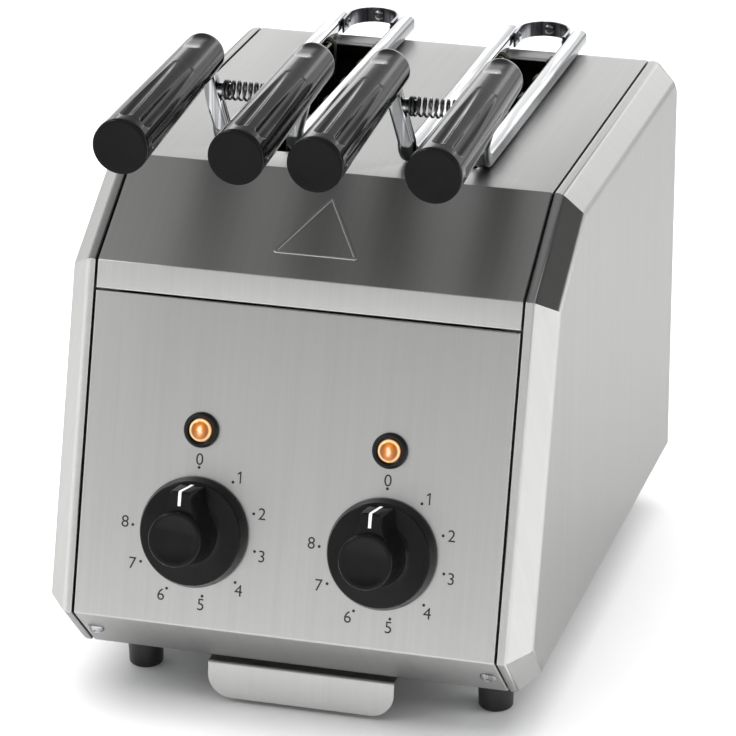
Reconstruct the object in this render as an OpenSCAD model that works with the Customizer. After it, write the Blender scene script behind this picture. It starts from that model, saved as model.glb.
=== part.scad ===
// Two-slot sandwich toaster with two lift-out spring tongs.
// Millimetres, +Z up, the front faces -Y. The origin is on the table, in the middle of the object's box.

/* [Casing] */
// Width of the sheet cover between the two end caps
cover_w = 200; // [190:1:215]
// Depth of the level top plate
top_depth = 213.5; // [200:0.5:230]
// Depth of the slope above the control panel
slope_run = 53; // [46:1:62]
// Height of the slope above the control panel
slope_rise = 33; // [26:1:40]
// Height of the leaning front
panel_rise = 157; // [150:1:175]
// Lean of the front, in degrees from upright
panel_lean = 16.6; // [12:0.1:20]
// Depth of the oblique strip under the front
strip_run = 27; // [20:1:30]
// Height of the oblique strip under the front
strip_rise = 26.5; // [20:0.5:30]
// Oblique corner between the top and the rear
rear_corner = 11; // [8:0.5:16]
// Thickness of the cover sheets
sheet = 1; // [0.8:0.1:1.5]
// Thickness of the base pan
pan_sheet = 1.2; // [1:0.1:2]
// Height of the base pan's flanges
pan_flange = 16; // [12:1:22]
// Depth of the turned-in hems at the seams
hem = 4; // [3:0.5:6]
// Width of the open seam between the cover and an end cap
seam_gap = 1.5; // [1:0.1:2.5]
// Width of the thin seam between two cover sheets
line_gap = 0.8; // [0.5:0.1:1.5]
// Distance of the front seam below the slope
seam_drop = 13.5; // [10:0.5:20]
// Length of the top cover's turn down at the rear
rear_turn = 14; // [8:1:25]

/* [End caps] */
// Width of the flat lip of an end cap
cap_lip = 3; // [2:0.5:5]
// Width of the chamfer of an end cap
cap_chamfer = 10.5; // [8:0.5:12]
// Thickness of an end cap
cap_sheet = 1; // [0.8:0.1:1.5]
// Length of the end cap's flange under the cover
flange_w = 10; // [6:0.5:14]

/* [Slots and oven] */
// Distance of each slot and each knob from the middle
slot_x = 44.5; // [42:0.5:47]
// Width of a slot
slot_w = 28; // [26:0.5:30]
// Distance from the slope to a slot
slot_front = 22; // [18:1:28]
// Distance from a slot to the rear
slot_rear = 26; // [20:1:32]
// Corner radius of a slot
slot_r = 3; // [2:0.5:5]
// Depth of the collar round a slot
collar_h = 8; // [5:0.5:12]
// Width of an oven liner
liner_w = 58; // [54:1:60]
// Thickness of an oven liner
liner_sheet = 0.8; // [0.6:0.1:1.2]
// Distance from a slot's end to the liner
liner_end = 3.5; // [2.5:0.5:5]
// Diameter of a quartz heating tube
tube_d = 8.5; // [7:0.5:10]
// Distance of the heating tubes from the middle of a slot
tube_off = 22; // [21:0.5:23]
// Height of the lowest heating tube above the base
tube_z = 45; // [35:1:60]
// Distance between the heating tubes
tube_pitch = 50; // [40:1:55]
// Number of heating tubes on each side of a slot
tube_n = 3; // [2:1:3]
// Diameter of a ceramic end cap
ceramic_d = 12; // [11:0.5:13]
// Length of a ceramic end cap
ceramic_l = 6; // [5:0.5:7]
// Diameter of a guard rod
guard_d = 3; // [2:0.5:3]
// Distance of the guard rods from the middle of a slot
guard_off = 16; // [15.5:0.1:16.5]
// Distance from the slope down to the front bulkhead's plane
bulkhead_gap = 3; // [1:0.5:6]

/* [Controls] */
// Height of the knobs up the leaning front
knob_s = 44; // [40:1:50]
// Diameter of a knob's skirt
knob_d = 51; // [44:1:54]
// Height of a knob's skirt
skirt_h = 6.5; // [6.5:0.5:9]
// Diameter of a knob's grip
grip_d = 26; // [23:1:28]
// Height of a knob
knob_h = 29.5; // [25:0.5:32]
// Width of a knob's pointer bar at its upper end
pointer_w = 9; // [7:0.5:10]
// Gap between a knob and the panel
knob_gap = 0.8; // [0.5:0.1:1.5]
// Diameter of a timer shaft
shaft_d = 6; // [5:0.5:7]
// Diameter of a timer's threaded bush
bush_d = 10; // [9:0.5:12]
// Side of a timer's case
timer_w = 44; // [36:1:50]
// Depth of a timer's case
timer_l = 32; // [24:1:36]
// Distance of a lamp above its knob
lamp_rise = 47; // [42:1:54]
// Diameter of a lamp's bezel
bezel_d = 16.5; // [15:0.5:20]
// Diameter of a lamp's lens
lens_d = 11; // [8:0.5:11]

// Height of the cable gland above the underside
gland_rise = 32; // [26:1:60]
// Length of the terminal block
terminal_l = 34; // [28:1:40]
// Width of the terminal block
terminal_w = 18; // [14:1:20]
// Height of the terminal block
terminal_h = 16; // [12:1:20]

/* [Feet and tray] */
// Height of a foot
foot_h = 26; // [24:0.5:32]
// Diameter of a foot
foot_d = 18; // [14:0.5:20]
// Distance of the feet from the middle
foot_x = 86; // [80:1:88]
// Distance of the front feet from the strip
foot_front = 33; // [20:1:40]
// Distance of the rear feet from the rear
foot_rear = 40; // [25:1:60]
// Distance from the strip to the tray's pull flap
tray_in = 3; // [2:0.5:6]
// Distance of the crumb tray's rear end from the rear
tray_back = 12; // [10:1:16]
// Width of the crumb tray
tray_w = 132; // [124:1:136]
// Height of the crumb tray's walls
tray_h = 5.2; // [4.9:0.1:5.6]
// Thickness of the crumb tray
tray_sheet = 0.8; // [0.6:0.1:1.2]
// Width of the tray's pull flap
flap_w = 90; // [70:1:110]
// Depth of the tray's pull flap
flap_run = 2; // [1:0.5:6]
// Drop of the tray's pull flap
flap_drop = 16.5; // [12:0.5:17.5]
// Corner radius of the tray's pull flap
flap_r = 11; // [6:0.5:14]
// Thickness of a tray rail
rail_t = 1.2; // [1:0.1:1.6]
// Width of a tray rail's ledge
ledge_w = 6; // [4:0.5:8]

/* [Tongs] */
// Side of the square chrome bar
bar = 8; // [7:0.5:8.5]
// Wall of the bar at its open rear end
bar_wall = 1; // [0.8:0.1:1.5]
// Distance of a rod from the middle of its slot
rod_off = 17.5; // [17:0.5:19]
// Distance of a handle from the middle of its slot
handle_off = 26.5; // [24:0.5:28]
// Height of a handle's axis above its rod
riser_h = 41; // [36:0.5:50]
// Centre-line radius of the bar's bend
bend_r = 8; // [6:0.5:10]
// Forward dip of a handle, in degrees
handle_dip = 2.9; // [0:0.1:5]
// Length of a handle in front of its riser
handle_l = 116; // [105:1:130]
// Length of a handle behind its riser
handle_back = 7; // [6.5:0.5:14]
// Diameter of a handle at the front
handle_d1 = 25.5; // [24:0.5:29]
// Diameter of a handle at the rear
handle_d2 = 20; // [19:0.5:22]
// Number of flutes round a handle
flute_n = 8; // [6:1:8]
// Radius of a flute
flute_r = 3; // [2:0.25:3.25]
// Depth of a flute at the front
flute_depth = 1.7; // [1.2:0.1:2]
// Depth of a flute at its rear end
flute_tail = 0.3; // [0.2:0.05:0.6]
// Distance from a handle's front to its flutes
flute_start = 9; // [6:0.5:14]
// Thickness of a handle's end plug
plug_t = 1.8; // [1.2:0.2:3]
// Height of the spring strip
strip_h = 7.6; // [6:0.2:7.8]
// Thickness of the spring strip
strip_t = 1.2; // [0.8:0.1:1.5]
// Length of the spring strip's tabs
tab_l = 10; // [8:0.5:14]
// Mean diameter of the coil spring
coil_d = 8.4; // [7.6:0.2:9]
// Diameter of the coil spring's wire
wire_d = 1.2; // [0.8:0.1:1.4]
// Number of turns of the coil spring
coil_turns = 13; // [8:1:15]
// Height of the coil spring above the rods
coil_rise = 25; // [20:0.5:28]
// Diameter of a cage wire
cage_d = 2.4; // [2:0.2:2.6]
// Distance of a cage from the middle of its slot
cage_off = 10.5; // [10:0.25:10.75]
// Depth of a cage below the top plate
cage_depth = 128; // [110:1:140]
// Number of upright wires in a cage
cage_n = 6; // [4:1:8]
// Depth of the cages' top rail below the top plate
cage_drop = 14; // [12:0.5:20]

/* [Clearances] */
// Gap between faces that slide on each other
slide_gap = 0.3; // [0.2:0.05:0.5]
// Gap between the tray's walls and the base pan
tray_gap = 0.4; // [0.3:0.1:0.8]
// Radial clearance of a running shaft
run_gap = 0.05; // [0.02:0.01:0.08]
// Clearance of a fixed piece in its seat
seat_gap = 0.1; // [0.05:0.01:0.2]

/* [Hidden] */
$fn = 48;

STEEL = "silver";
CHROME = "gainsboro";
BLACK = "#1c1c1c";
DARK_STEEL = "#6d6d6d";
LEFT = -1;
RIGHT = 1;
// Room added past a face so that a cut goes right through
past = 1;

// Side profile of the casing in the Y-Z plane, clockwise from the front of the base
base_z = foot_h - sheet;
panel_y = panel_rise * tan(panel_lean);
panel_len = panel_rise / cos(panel_lean);
front_z = base_z + strip_rise;
slope_z = front_z + panel_rise;
slope_y = panel_y + slope_run;
slope_angle = atan2(slope_rise, slope_run);
slope_len = norm([slope_run, slope_rise]);
top_z = slope_z + slope_rise;
rear_y = slope_y + top_depth;
rear_len = top_z - rear_corner - base_z;
corners = [
    [strip_run, base_z],
    [0, front_z],
    [panel_y, slope_z],
    [slope_y, top_z],
    [rear_y - rear_corner, top_z],
    [rear_y, top_z - rear_corner],
    [rear_y, base_z]
];
E_STRIP = 0;
E_FRONT = 1;
E_REAR = 5;
corner_n = len(corners);

function corner(i) = corners[(i + corner_n) % corner_n];
function edge_dir(i) = (corner(i + 1) - corner(i)) / norm(corner(i + 1) - corner(i));
function edge_in(i) = [edge_dir(i)[1], -edge_dir(i)[0]];
// Corner i moved inwards by d from both of its edges
function inset(i, d) =
    corner(i) + d * (edge_in(i - 1) + edge_in(i)) / (1 + edge_in(i - 1) * edge_in(i));
// Point at distance t along edge i, moved inwards by d
function on_edge(i, t, d) = corner(i) + t * edge_dir(i) + d * edge_in(i);
function inset_ring(d) = [for (i = [0 : corner_n - 1]) inset(i, d)];
function reversed(a) = [for (i = [len(a) - 1 : -1 : 0]) a[i]];

// Open paths of the bent sheets, at depth d inside the profile
function top_path(d) = concat(
    [on_edge(E_FRONT, panel_len - seam_drop + line_gap / 2, d)],
    [for (i = [2 : 5]) inset(i, d)],
    [on_edge(E_REAR, rear_turn, d)]
);
function panel_path(d) = [
    on_edge(E_STRIP, 0, d), inset(1, d), on_edge(E_FRONT, panel_len - seam_drop - line_gap / 2, d)
];
function rear_path(d) = [on_edge(E_REAR, rear_turn + line_gap, d), on_edge(E_REAR, rear_len, d)];
function pan_path(d) = [
    on_edge(E_REAR, rear_len - pan_flange, d), inset(6, d), inset(0, d), on_edge(E_STRIP, pan_flange, d)
];

cover_half = cover_w / 2;
cap_x0 = cover_half + seam_gap;
cap_x1 = cap_x0 + cap_lip;
cap_x2 = cap_x1 + cap_chamfer;
pan_half = cover_half - sheet - slide_gap;
floor_z = base_z + sheet + pan_sheet;
ceiling_z = top_z - sheet;

slot_y0 = slope_y + slot_front;
slot_y1 = rear_y - slot_rear;
slot_l = slot_y1 - slot_y0;
liner_y0 = slot_y0 - liner_end - sheet - liner_sheet;
liner_y1 = slot_y1 + liner_end;
liner_l = liner_y1 - liner_y0;
bulkhead_y = slope_y - bulkhead_gap;
bulkhead_foot = 14;
bulkhead_half = cap_x0 - flange_w - slide_gap;

lamp_s = knob_s + lamp_rise;
knob_r = knob_d / 2;
shaft_l = 19;
nut_h = 2.5;
nut_d = 15;
bush_l = 4;
screw_x = cover_half - 6;
screw_s = norm([strip_run, strip_rise]) * 0.5;
screw_d = 4;

foot_y0 = strip_run + foot_front;
foot_y1 = rear_y - foot_rear;
tray_floor = base_z - tray_h - tray_gap;
tray_y0 = strip_run + tray_in;
tray_y1 = rear_y - tray_back;
tray_wall_y = tray_y0 + 11;
flap_angle = atan2(flap_drop, flap_run);
rail_x = tray_w / 2 + slide_gap;

rod_z = top_z + slide_gap + bar / 2;
rod_y0 = slot_y0 - 5;
rod_y1 = rear_y - 1;
axis_z = rod_z + riser_h;
rod_in = rod_off - bar / 2;
tang_l = 58;
coil_z = rod_z + coil_rise;
stud_d = coil_d - wire_d - 2 * slide_gap;
stud_l = 5;
plug_r = handle_d1 / 2 - 0.2;
strip_r = rod_in - slide_gap;
strip_y = rod_y1 - 2;
rivet_y = strip_y - tab_l / 2;
rivet_d = 3;
cage_y0 = slot_y0 + 8;
cage_y1 = slot_y1 - 10;
cage_step = (cage_y1 - cage_y0) / (cage_n - 1);
cage_z = top_z - cage_depth;
hook_l = 5.5;
cage_bend = max(cage_d / 2 + 0.1, (rod_in - cage_off) * 0.65);

// Box of the whole object in Y: from the knobs or the handle plugs to the bow of the spring strips
knob_top_r = grip_d / 2 - 1.3;
knob_y0 = (knob_s - knob_top_r) * sin(panel_lean) - (knob_gap + knob_h) * cos(panel_lean);
plug_y0 = rod_y0 - (handle_l + plug_t) * cos(handle_dip) - plug_r * sin(handle_dip);
box_y0 = min(knob_y0, plug_y0);
box_y1 = strip_y + strip_r;
mid_y = (box_y0 + box_y1) / 2;

// Half distance of a riser's centre line from the middle of its tong, at height z
function riser_x(z) = rod_off + (handle_off - rod_off) * (z - rod_z - bend_r) / (axis_z - rod_z - bend_r);

// Coil spring: one tube on a helix along X, with straight ends that meet the risers
coil_half = riser_x(coil_z - (coil_d + wire_d) / 2) - bar / 2 - slide_gap;
coil_rings = 8 * coil_turns;
coil_sides = 6;
coil_step = (2 * coil_half - 2 * wire_d) / coil_rings;
function coil_angle(i) = 360 * min(max(i - 1, 0), coil_rings) / 8;
function coil_x(i) =
    i == 0 ? -coil_half : i == coil_rings + 2 ? coil_half : -coil_half + wire_d + (i - 1) * coil_step;
function coil_out(i) = [0, cos(coil_angle(i)), sin(coil_angle(i))];
function coil_point(i) = [coil_x(i), 0, 0] + coil_d / 2 * coil_out(i);
function coil_round(i) = [0, -sin(coil_angle(i)), cos(coil_angle(i))];
function unit(v) = v / norm(v);
// Direction of the wire at ring i: straight at both ends, and along the helix between them
function coil_dir(i) =
    i == 0 || i == coil_rings + 2 ? [1, 0, 0] :
    unit([coil_step, 0, 0] + PI * coil_d / 8 * coil_round(i));
coil_points = [
    for (i = [0 : coil_rings + 2])
        for (k = [0 : coil_sides - 1])
            coil_point(i) + wire_d / 2 * (
                cos(360 * k / coil_sides) * coil_out(i) +
                sin(360 * k / coil_sides) * cross(coil_dir(i), coil_out(i)))
];
function coil_id(i, k) = i * coil_sides + k % coil_sides;
coil_faces = concat(
    [for (k = [1 : coil_sides - 2]) [coil_id(0, 0), coil_id(0, k), coil_id(0, k + 1)]],
    [for (i = [0 : coil_rings + 1]) for (k = [0 : coil_sides - 1])
        [coil_id(i, k), coil_id(i + 1, k), coil_id(i + 1, k + 1)]],
    [for (i = [0 : coil_rings + 1]) for (k = [0 : coil_sides - 1])
        [coil_id(i, k), coil_id(i + 1, k + 1), coil_id(i, k + 1)]],
    [for (k = [1 : coil_sides - 2])
        [coil_id(coil_rings + 2, 0), coil_id(coil_rings + 2, k + 1), coil_id(coil_rings + 2, k)]]
);
coil_gap = min([
    for (i = [1 : coil_rings - 4]) for (j = [i + 5 : coil_rings + 1])
        norm(coil_point(i) - coil_point(j)) - wire_d
]);
echo(coil_spring_least_gap = coil_gap);

// Frames and shared shapes

// Everything is drawn with the front edge at Y = 0 and moved to the origin here
module place() {
    translate([0, -mid_y, 0]) children();
}

// A shape in the Y-Z plane, extruded along X
module along_x(x0, x1) {
    translate([x0, 0, 0]) rotate([90, 0, 90]) linear_extrude(x1 - x0) children();
}

// Local frame on the leaning front: X right, Y up the front, Z out of it
module on_front(x, s) {
    p = on_edge(E_FRONT, s, 0);
    translate([x, p[0], p[1]]) rotate([90 - panel_lean, 0, 0]) children();
}

// Local frame on the slope: X right, Y up the slope, Z out of it
module on_slope(s) {
    translate([0, panel_y, slope_z]) rotate([slope_angle, 0, 0]) translate([0, s, 0]) children();
}

// Local frame on the oblique strip: Z out of it
module on_strip(x, s) {
    p = on_edge(E_STRIP, s, 0);
    translate([x, p[0], p[1]]) rotate([90 + atan2(strip_run, strip_rise), 0, 0]) children();
}

// Local frame of a handle: Z along its axis to the front, Y up
module on_handle(side) {
    translate([side * handle_off, rod_y0, axis_z]) rotate([90 + handle_dip, 0, 0]) children();
}

module at_tong(tong) {
    translate([tong * slot_x, 0, 0]) children();
}

module rounded_rect(w, l, r) {
    translate([-w / 2 + r, 0]) square([w - 2 * r, l]);
    translate([-w / 2, r]) square([w, l - 2 * r]);
    for (x = [-w / 2 + r, w / 2 - r]) {
        for (y = [r, l - r]) translate([x, y]) circle(r);
    }
}

// Sheet between depths d0 and d1 along one of the open paths
module sheet_profile(outer, inner) {
    polygon(concat(outer, reversed(inner)));
}

// Loft between two insets of the casing's profile
module profile_loft(x0, d0, x1, d1) {
    lower = [for (p = inset_ring(d0)) [x0, p[0], p[1]]];
    upper = [for (p = inset_ring(d1)) [x1, p[0], p[1]]];
    n = corner_n;
    polyhedron(
        concat(lower, upper),
        concat(
            [[for (i = [n - 1 : -1 : 0]) i]],
            [[for (i = [0 : n - 1]) n + i]],
            [for (i = [0 : n - 1]) [i, (i + 1) % n, n + (i + 1) % n, n + i]]
        )
    );
}

// Casing

module slot_cut() {
    translate([0, slot_y0, ceiling_z - past])
        linear_extrude(sheet + 2 * past) rounded_rect(slot_w, slot_l, slot_r);
}

module slot_collar() {
    translate([0, slot_y0, ceiling_z - collar_h])
        linear_extrude(collar_h) difference() {
            translate([0, -sheet]) rounded_rect(slot_w + 2 * sheet, slot_l + 2 * sheet, slot_r + sheet);
            rounded_rect(slot_w, slot_l, slot_r);
        }
}

// Raised triangular band on the slope
triangle_side = 38;
triangle_band = 2.6;
triangle_rise = 0.5;
triangle_base = (slope_len - triangle_side * sqrt(3) / 2) * 0.5;

module triangle(side, base) {
    polygon([[-side / 2, base], [side / 2, base], [0, base + side * sqrt(3) / 2]]);
}

module triangle_mark() {
    inner = triangle_side - 2 * sqrt(3) * triangle_band;
    on_slope(0) translate([0, 0, -sheet / 2]) linear_extrude(triangle_rise + sheet / 2) difference() {
        triangle(triangle_side, triangle_base);
        triangle(inner, triangle_base + triangle_band);
    }
}

module top_cover() {
    color(STEEL) place() {
        difference() {
            union() {
                along_x(-cover_half, cover_half) sheet_profile(top_path(0), top_path(sheet));
                for (x = [-cover_half, cover_half - sheet])
                    along_x(x, x + sheet) sheet_profile(top_path(0), top_path(hem));
                triangle_mark();
            }
            for (t = [LEFT, RIGHT]) at_tong(t) slot_cut();
        }
        for (t = [LEFT, RIGHT]) at_tong(t) slot_collar();
    }
}

module control_panel() {
    color(STEEL) place() difference() {
        union() {
            along_x(-cover_half, cover_half) sheet_profile(panel_path(0), panel_path(sheet));
            for (x = [-cover_half, cover_half - sheet])
                along_x(x, x + sheet) sheet_profile(panel_path(0), panel_path(hem));
        }
        for (t = [LEFT, RIGHT]) {
            on_front(t * slot_x, knob_s) cylinder(h = 4 * past, d = bush_d + 2 * seat_gap, center = true);
            on_front(t * slot_x, lamp_s) cylinder(h = 4 * past, d = neck_d + 2 * seat_gap, center = true);
            on_strip(t * screw_x, screw_s) cylinder(h = 4 * past, d = screw_d + 2 * seat_gap, center = true);
        }
    }
}

gland_x = 80;
gland_z = base_z + gland_rise;
gland_d = 12;

module rear_panel() {
    color(STEEL) place() difference() {
        union() {
            along_x(-cover_half, cover_half) sheet_profile(rear_path(0), rear_path(sheet));
            for (x = [-cover_half, cover_half - sheet])
                along_x(x, x + sheet) sheet_profile(rear_path(0), rear_path(hem));
        }
        translate([gland_x, rear_y, gland_z]) rotate([90, 0, 0])
            cylinder(h = 4 * past, d = gland_d + 2 * seat_gap, center = true);
    }
}

// Crumbs fall through one opening under each oven liner, no wider than the tray
chute_rim = 4;
chute_x0 = slot_x - liner_w / 2 + chute_rim;
chute_x1 = min(slot_x + liner_w / 2 - chute_rim, tray_w / 2 - tray_sheet - slide_gap);

module base_pan() {
    color(DARK_STEEL) place() difference() {
        along_x(-pan_half, pan_half) sheet_profile(pan_path(sheet), pan_path(sheet + pan_sheet));
        for (t = [LEFT, RIGHT]) mirror([t == LEFT ? 1 : 0, 0, 0])
            translate([chute_x0, liner_y0 + chute_rim, base_z])
                cube([chute_x1 - chute_x0, liner_l - 2 * chute_rim, sheet + pan_sheet + past]);
        for (t = [LEFT, RIGHT])
            on_strip(t * screw_x, screw_s) cylinder(h = 8 * past, d = screw_d + 2 * seat_gap, center = true);
    }
}

module end_cap(side) {
    wall = cap_sheet * sqrt(2);
    color(STEEL) place() mirror([side == LEFT ? 1 : 0, 0, 0]) {
        difference() {
            union() {
                along_x(cap_x0, cap_x1) polygon(inset_ring(0));
                profile_loft(cap_x1, 0, cap_x2, cap_chamfer);
            }
            along_x(cap_x0 + cap_sheet, cap_x1) polygon(inset_ring(wall));
            profile_loft(cap_x1, wall, cap_x2 - cap_sheet, cap_chamfer + wall - cap_sheet);
            along_x(cap_x0 - past, cap_x0 + cap_sheet + past) polygon(inset_ring(hem + cap_sheet));
        }
        difference() {
            along_x(cap_x0 - flange_w, cap_x0 + cap_sheet) difference() {
                polygon(inset_ring(hem));
                polygon(inset_ring(hem + cap_sheet));
            }
            on_strip(screw_x, screw_s) cylinder(h = 4 * hem, d = screw_d + 2 * seat_gap, center = true);
        }
    }
}

// Oven

bulkhead_top =
    slope_z + (bulkhead_y - sheet - panel_y) * slope_rise / slope_run - sheet / cos(slope_angle) - slide_gap;

module front_bulkhead() {
    color(DARK_STEEL) place() {
        translate([-bulkhead_half, bulkhead_y - sheet, floor_z])
            cube([2 * bulkhead_half, sheet, bulkhead_top - floor_z]);
        translate([-bulkhead_half, bulkhead_y - bulkhead_foot, floor_z])
            cube([2 * bulkhead_half, bulkhead_foot, sheet]);
    }
}

// Places of the quartz tubes and guard rods in one oven, as offset and height
tube_spots = [
    for (s = [LEFT, RIGHT]) for (k = [0 : tube_n - 1]) [s * tube_off, base_z + tube_z + k * tube_pitch]
];
guard_spots = [
    for (s = [LEFT, RIGHT]) for (k = [0.5, 1.5]) [s * guard_off, base_z + tube_z + k * tube_pitch]
];

module along_y(spot, y0, y1, d) {
    translate([spot[0], y0, spot[1]]) rotate([-90, 0, 0]) cylinder(h = y1 - y0, d = d);
}

module oven_liner(tong) {
    color(CHROME) place() at_tong(tong) difference() {
        translate([-liner_w / 2, liner_y0, floor_z]) cube([liner_w, liner_l, ceiling_z - floor_z]);
        translate([-liner_w / 2 + liner_sheet, liner_y0 + liner_sheet, floor_z - past])
            cube([liner_w - 2 * liner_sheet, liner_l - 2 * liner_sheet, ceiling_z - floor_z + 2 * past]);
        for (p = tube_spots) along_y(p, liner_y0 - past, liner_y1 + past, tube_d + 2 * seat_gap);
        for (p = guard_spots) along_y(p, liner_y0 - past, liner_y1 + past, guard_d + 2 * seat_gap);
    }
}

module quartz_tubes(tong) {
    bore = tube_d - 2.4;
    color("whitesmoke") place() at_tong(tong) for (p = tube_spots) difference() {
        along_y(p, liner_y0 - ceramic_l + 1, liner_y1 + ceramic_l - 1, tube_d);
        along_y(p, liner_y0 - ceramic_l, liner_y1 + ceramic_l, bore);
    }
}

module tube_ceramics(tong) {
    color("ivory") place() at_tong(tong) for (p = tube_spots) {
        difference() {
            along_y(p, liner_y0 - ceramic_l, liner_y0, ceramic_d);
            along_y(p, liner_y0 - ceramic_l + 1, liner_y0 + past, tube_d + 2 * seat_gap);
        }
        difference() {
            along_y(p, liner_y1, liner_y1 + ceramic_l, ceramic_d);
            along_y(p, liner_y1 - past, liner_y1 + ceramic_l - 1, tube_d + 2 * seat_gap);
        }
    }
}

module guard_rods(tong) {
    color(CHROME) place() at_tong(tong) for (p = guard_spots) along_y(p, liner_y0, liner_y1, guard_d);
}

// Controls

module timer(tong) {
    shaft_hole = shaft_d + 2 * run_gap;
    color(DARK_STEEL) place() on_front(tong * slot_x, knob_s) difference() {
        union() {
            translate([-timer_w / 2, -timer_w / 2, -sheet - timer_l]) cube([timer_w, timer_w, timer_l]);
            translate([0, 0, -sheet]) cylinder(h = sheet + bush_l, d = bush_d);
            cylinder(h = nut_h, d = nut_d, $fn = 6);
        }
        translate([0, 0, -sheet - timer_l / 2]) cylinder(h = timer_l, d = shaft_hole);
    }
}

module timer_shaft(tong) {
    color(CHROME) place() on_front(tong * slot_x, knob_s)
        translate([0, 0, -sheet - timer_l / 2 + slide_gap])
            cylinder(h = sheet + timer_l / 2 + shaft_l, d = shaft_d);
}

// Bar with leaning sides that runs from the grip to the rim, between heights z0 and z1
module pointer(z0, z1) {
    top = pointer_w / 2;
    tip = knob_r - rim - 0.9;
    lower = [[-top - 4.1, 6], [top + 4.1, 6], [top + 1.5, tip], [-top - 1.5, tip]];
    upper = [[-top - 2.1, 6], [top + 2.1, 6], [top, tip - 1], [-top, tip - 1]];
    polyhedron(
        concat([for (p = lower) [p[0], p[1], z0]], [for (p = upper) [p[0], p[1], z1]]),
        [[0, 1, 2, 3], [7, 6, 5, 4], [1, 0, 4, 5], [2, 1, 5, 6], [3, 2, 6, 7], [0, 3, 7, 4]]
    );
}

// Round skirt with a conical rim, a raised grip and a pointer
rim = 2;

module knob(tong) {
    grip_r = grip_d / 2;
    pointer_h = knob_h - 4;
    hollow = skirt_h - 2.6;
    groove_w = 1.4;
    color(BLACK) place() on_front(tong * slot_x, knob_s) translate([0, 0, knob_gap]) difference() {
        union() {
            rotate_extrude() polygon([
                [0, 0], [knob_r, 0], [knob_r, skirt_h * 0.25], [knob_r - rim, skirt_h],
                [grip_r + 1.5, skirt_h + 0.8], [grip_r, skirt_h + 2.4], [grip_r - 0.5, knob_h - 0.8],
                [knob_top_r, knob_h], [0, knob_h]
            ]);
            pointer(skirt_h / 2, pointer_h);
        }
        translate([0, 0, -past]) cylinder(h = hollow + past, r = knob_r - 2.4);
        translate([0, 0, -past])
            cylinder(h = shaft_l - knob_gap + past + slide_gap, d = shaft_d + 2 * run_gap);
        translate([-groove_w / 2, grip_r + 2, pointer_h - 0.5]) cube([groove_w, knob_r, past + 0.5]);
    }
}

neck_d = lens_d + 1.8;
bezel_h = 2.6;
neck_l = 14;
lens_seat = 8;

module lamp_bezel(tong) {
    color(BLACK) place() on_front(tong * slot_x, lamp_s) difference() {
        union() {
            rotate_extrude() polygon([
                [0, 0], [bezel_d / 2, 0], [bezel_d / 2, bezel_h * 0.6], [bezel_d / 2 - 1, bezel_h],
                [0, bezel_h]
            ]);
            translate([0, 0, -neck_l]) cylinder(h = neck_l, d = neck_d);
        }
        translate([0, 0, -lens_seat]) cylinder(h = lens_seat + bezel_h + past, d = lens_d);
    }
}

module lamp_lens(tong) {
    dome = 1.8;
    lens_r = lens_d / 2 - run_gap;
    color("orange") place() on_front(tong * slot_x, lamp_s) rotate_extrude() polygon(concat(
        [[0, -lens_seat], [lens_r, -lens_seat]],
        [for (a = [0 : 15 : 90]) [lens_r * cos(a), bezel_h - 0.6 + dome * sin(a)]]
    ));
}

module strip_screws() {
    head_d = 8;
    head_h = 2.2;
    shank_l = 7;
    color(CHROME) place() for (t = [LEFT, RIGHT]) on_strip(t * screw_x, screw_s) {
        rotate_extrude() polygon(concat(
            [[0, 0]],
            [for (a = [0 : 15 : 90]) [head_d / 2 * cos(a), head_h * sin(a)]]
        ));
        translate([0, 0, -shank_l]) cylinder(h = shank_l, d = screw_d);
    }
}

module cable_gland() {
    flange_d = 20;
    flange_h = 5;
    bore = 7;
    inside = 10;
    color(BLACK) place() translate([gland_x, rear_y, gland_z]) rotate([-90, 0, 0]) difference() {
        union() {
            rotate_extrude() polygon([
                [0, 0], [flange_d / 2, 0], [flange_d / 2, flange_h * 0.6],
                [bore / 2 + 2, flange_h * 2], [0, flange_h * 2]
            ]);
            translate([0, 0, -inside]) cylinder(h = inside, d = gland_d);
            translate([0, 0, -sheet - 4]) cylinder(h = 4, d = flange_d - 2, $fn = 6);
        }
        translate([0, 0, -inside - past]) cylinder(h = inside + 3 * flange_h, d = bore);
    }
}

module terminal_block() {
    block = [terminal_w, terminal_l, terminal_h];
    ways = 3;
    way_d = 4;
    color("beige") place()
        translate([gland_x - block[0], bulkhead_y - bulkhead_foot - block[1] - 2, floor_z]) difference() {
            cube(block);
            for (k = [0 : ways - 1])
                translate([-past, block[1] * (k + 0.5) / ways, block[2] * 0.45]) rotate([0, 90, 0])
                    cylinder(h = block[0] + 2 * past, d = way_d);
        }
}

// Feet and tray

module foot(side, y) {
    top_r = foot_d / 2;
    low_r = top_r - 0.9;
    edge = 2;
    recess_d = 6;
    color(BLACK) place() translate([side * foot_x, y, 0]) difference() {
        rotate_extrude() polygon(concat(
            [[0, 0]],
            [for (a = [0 : 15 : 90]) [low_r - edge + edge * sin(a), edge - edge * cos(a)]],
            [[top_r, foot_h], [0, foot_h]]
        ));
        translate([0, 0, -past]) cylinder(h = foot_h / 2, d = recess_d);
    }
}

module tray_rails() {
    rail_z = tray_floor - slide_gap - rail_t;
    rail_l = tray_y1 - tray_wall_y;
    color(DARK_STEEL) place() for (t = [LEFT, RIGHT]) mirror([t == LEFT ? 1 : 0, 0, 0]) {
        translate([rail_x, tray_wall_y, rail_z]) cube([rail_t, rail_l, foot_h - rail_z]);
        translate([rail_x - ledge_w, tray_wall_y, rail_z]) cube([ledge_w + rail_t, rail_l, rail_t]);
    }
}

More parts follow.
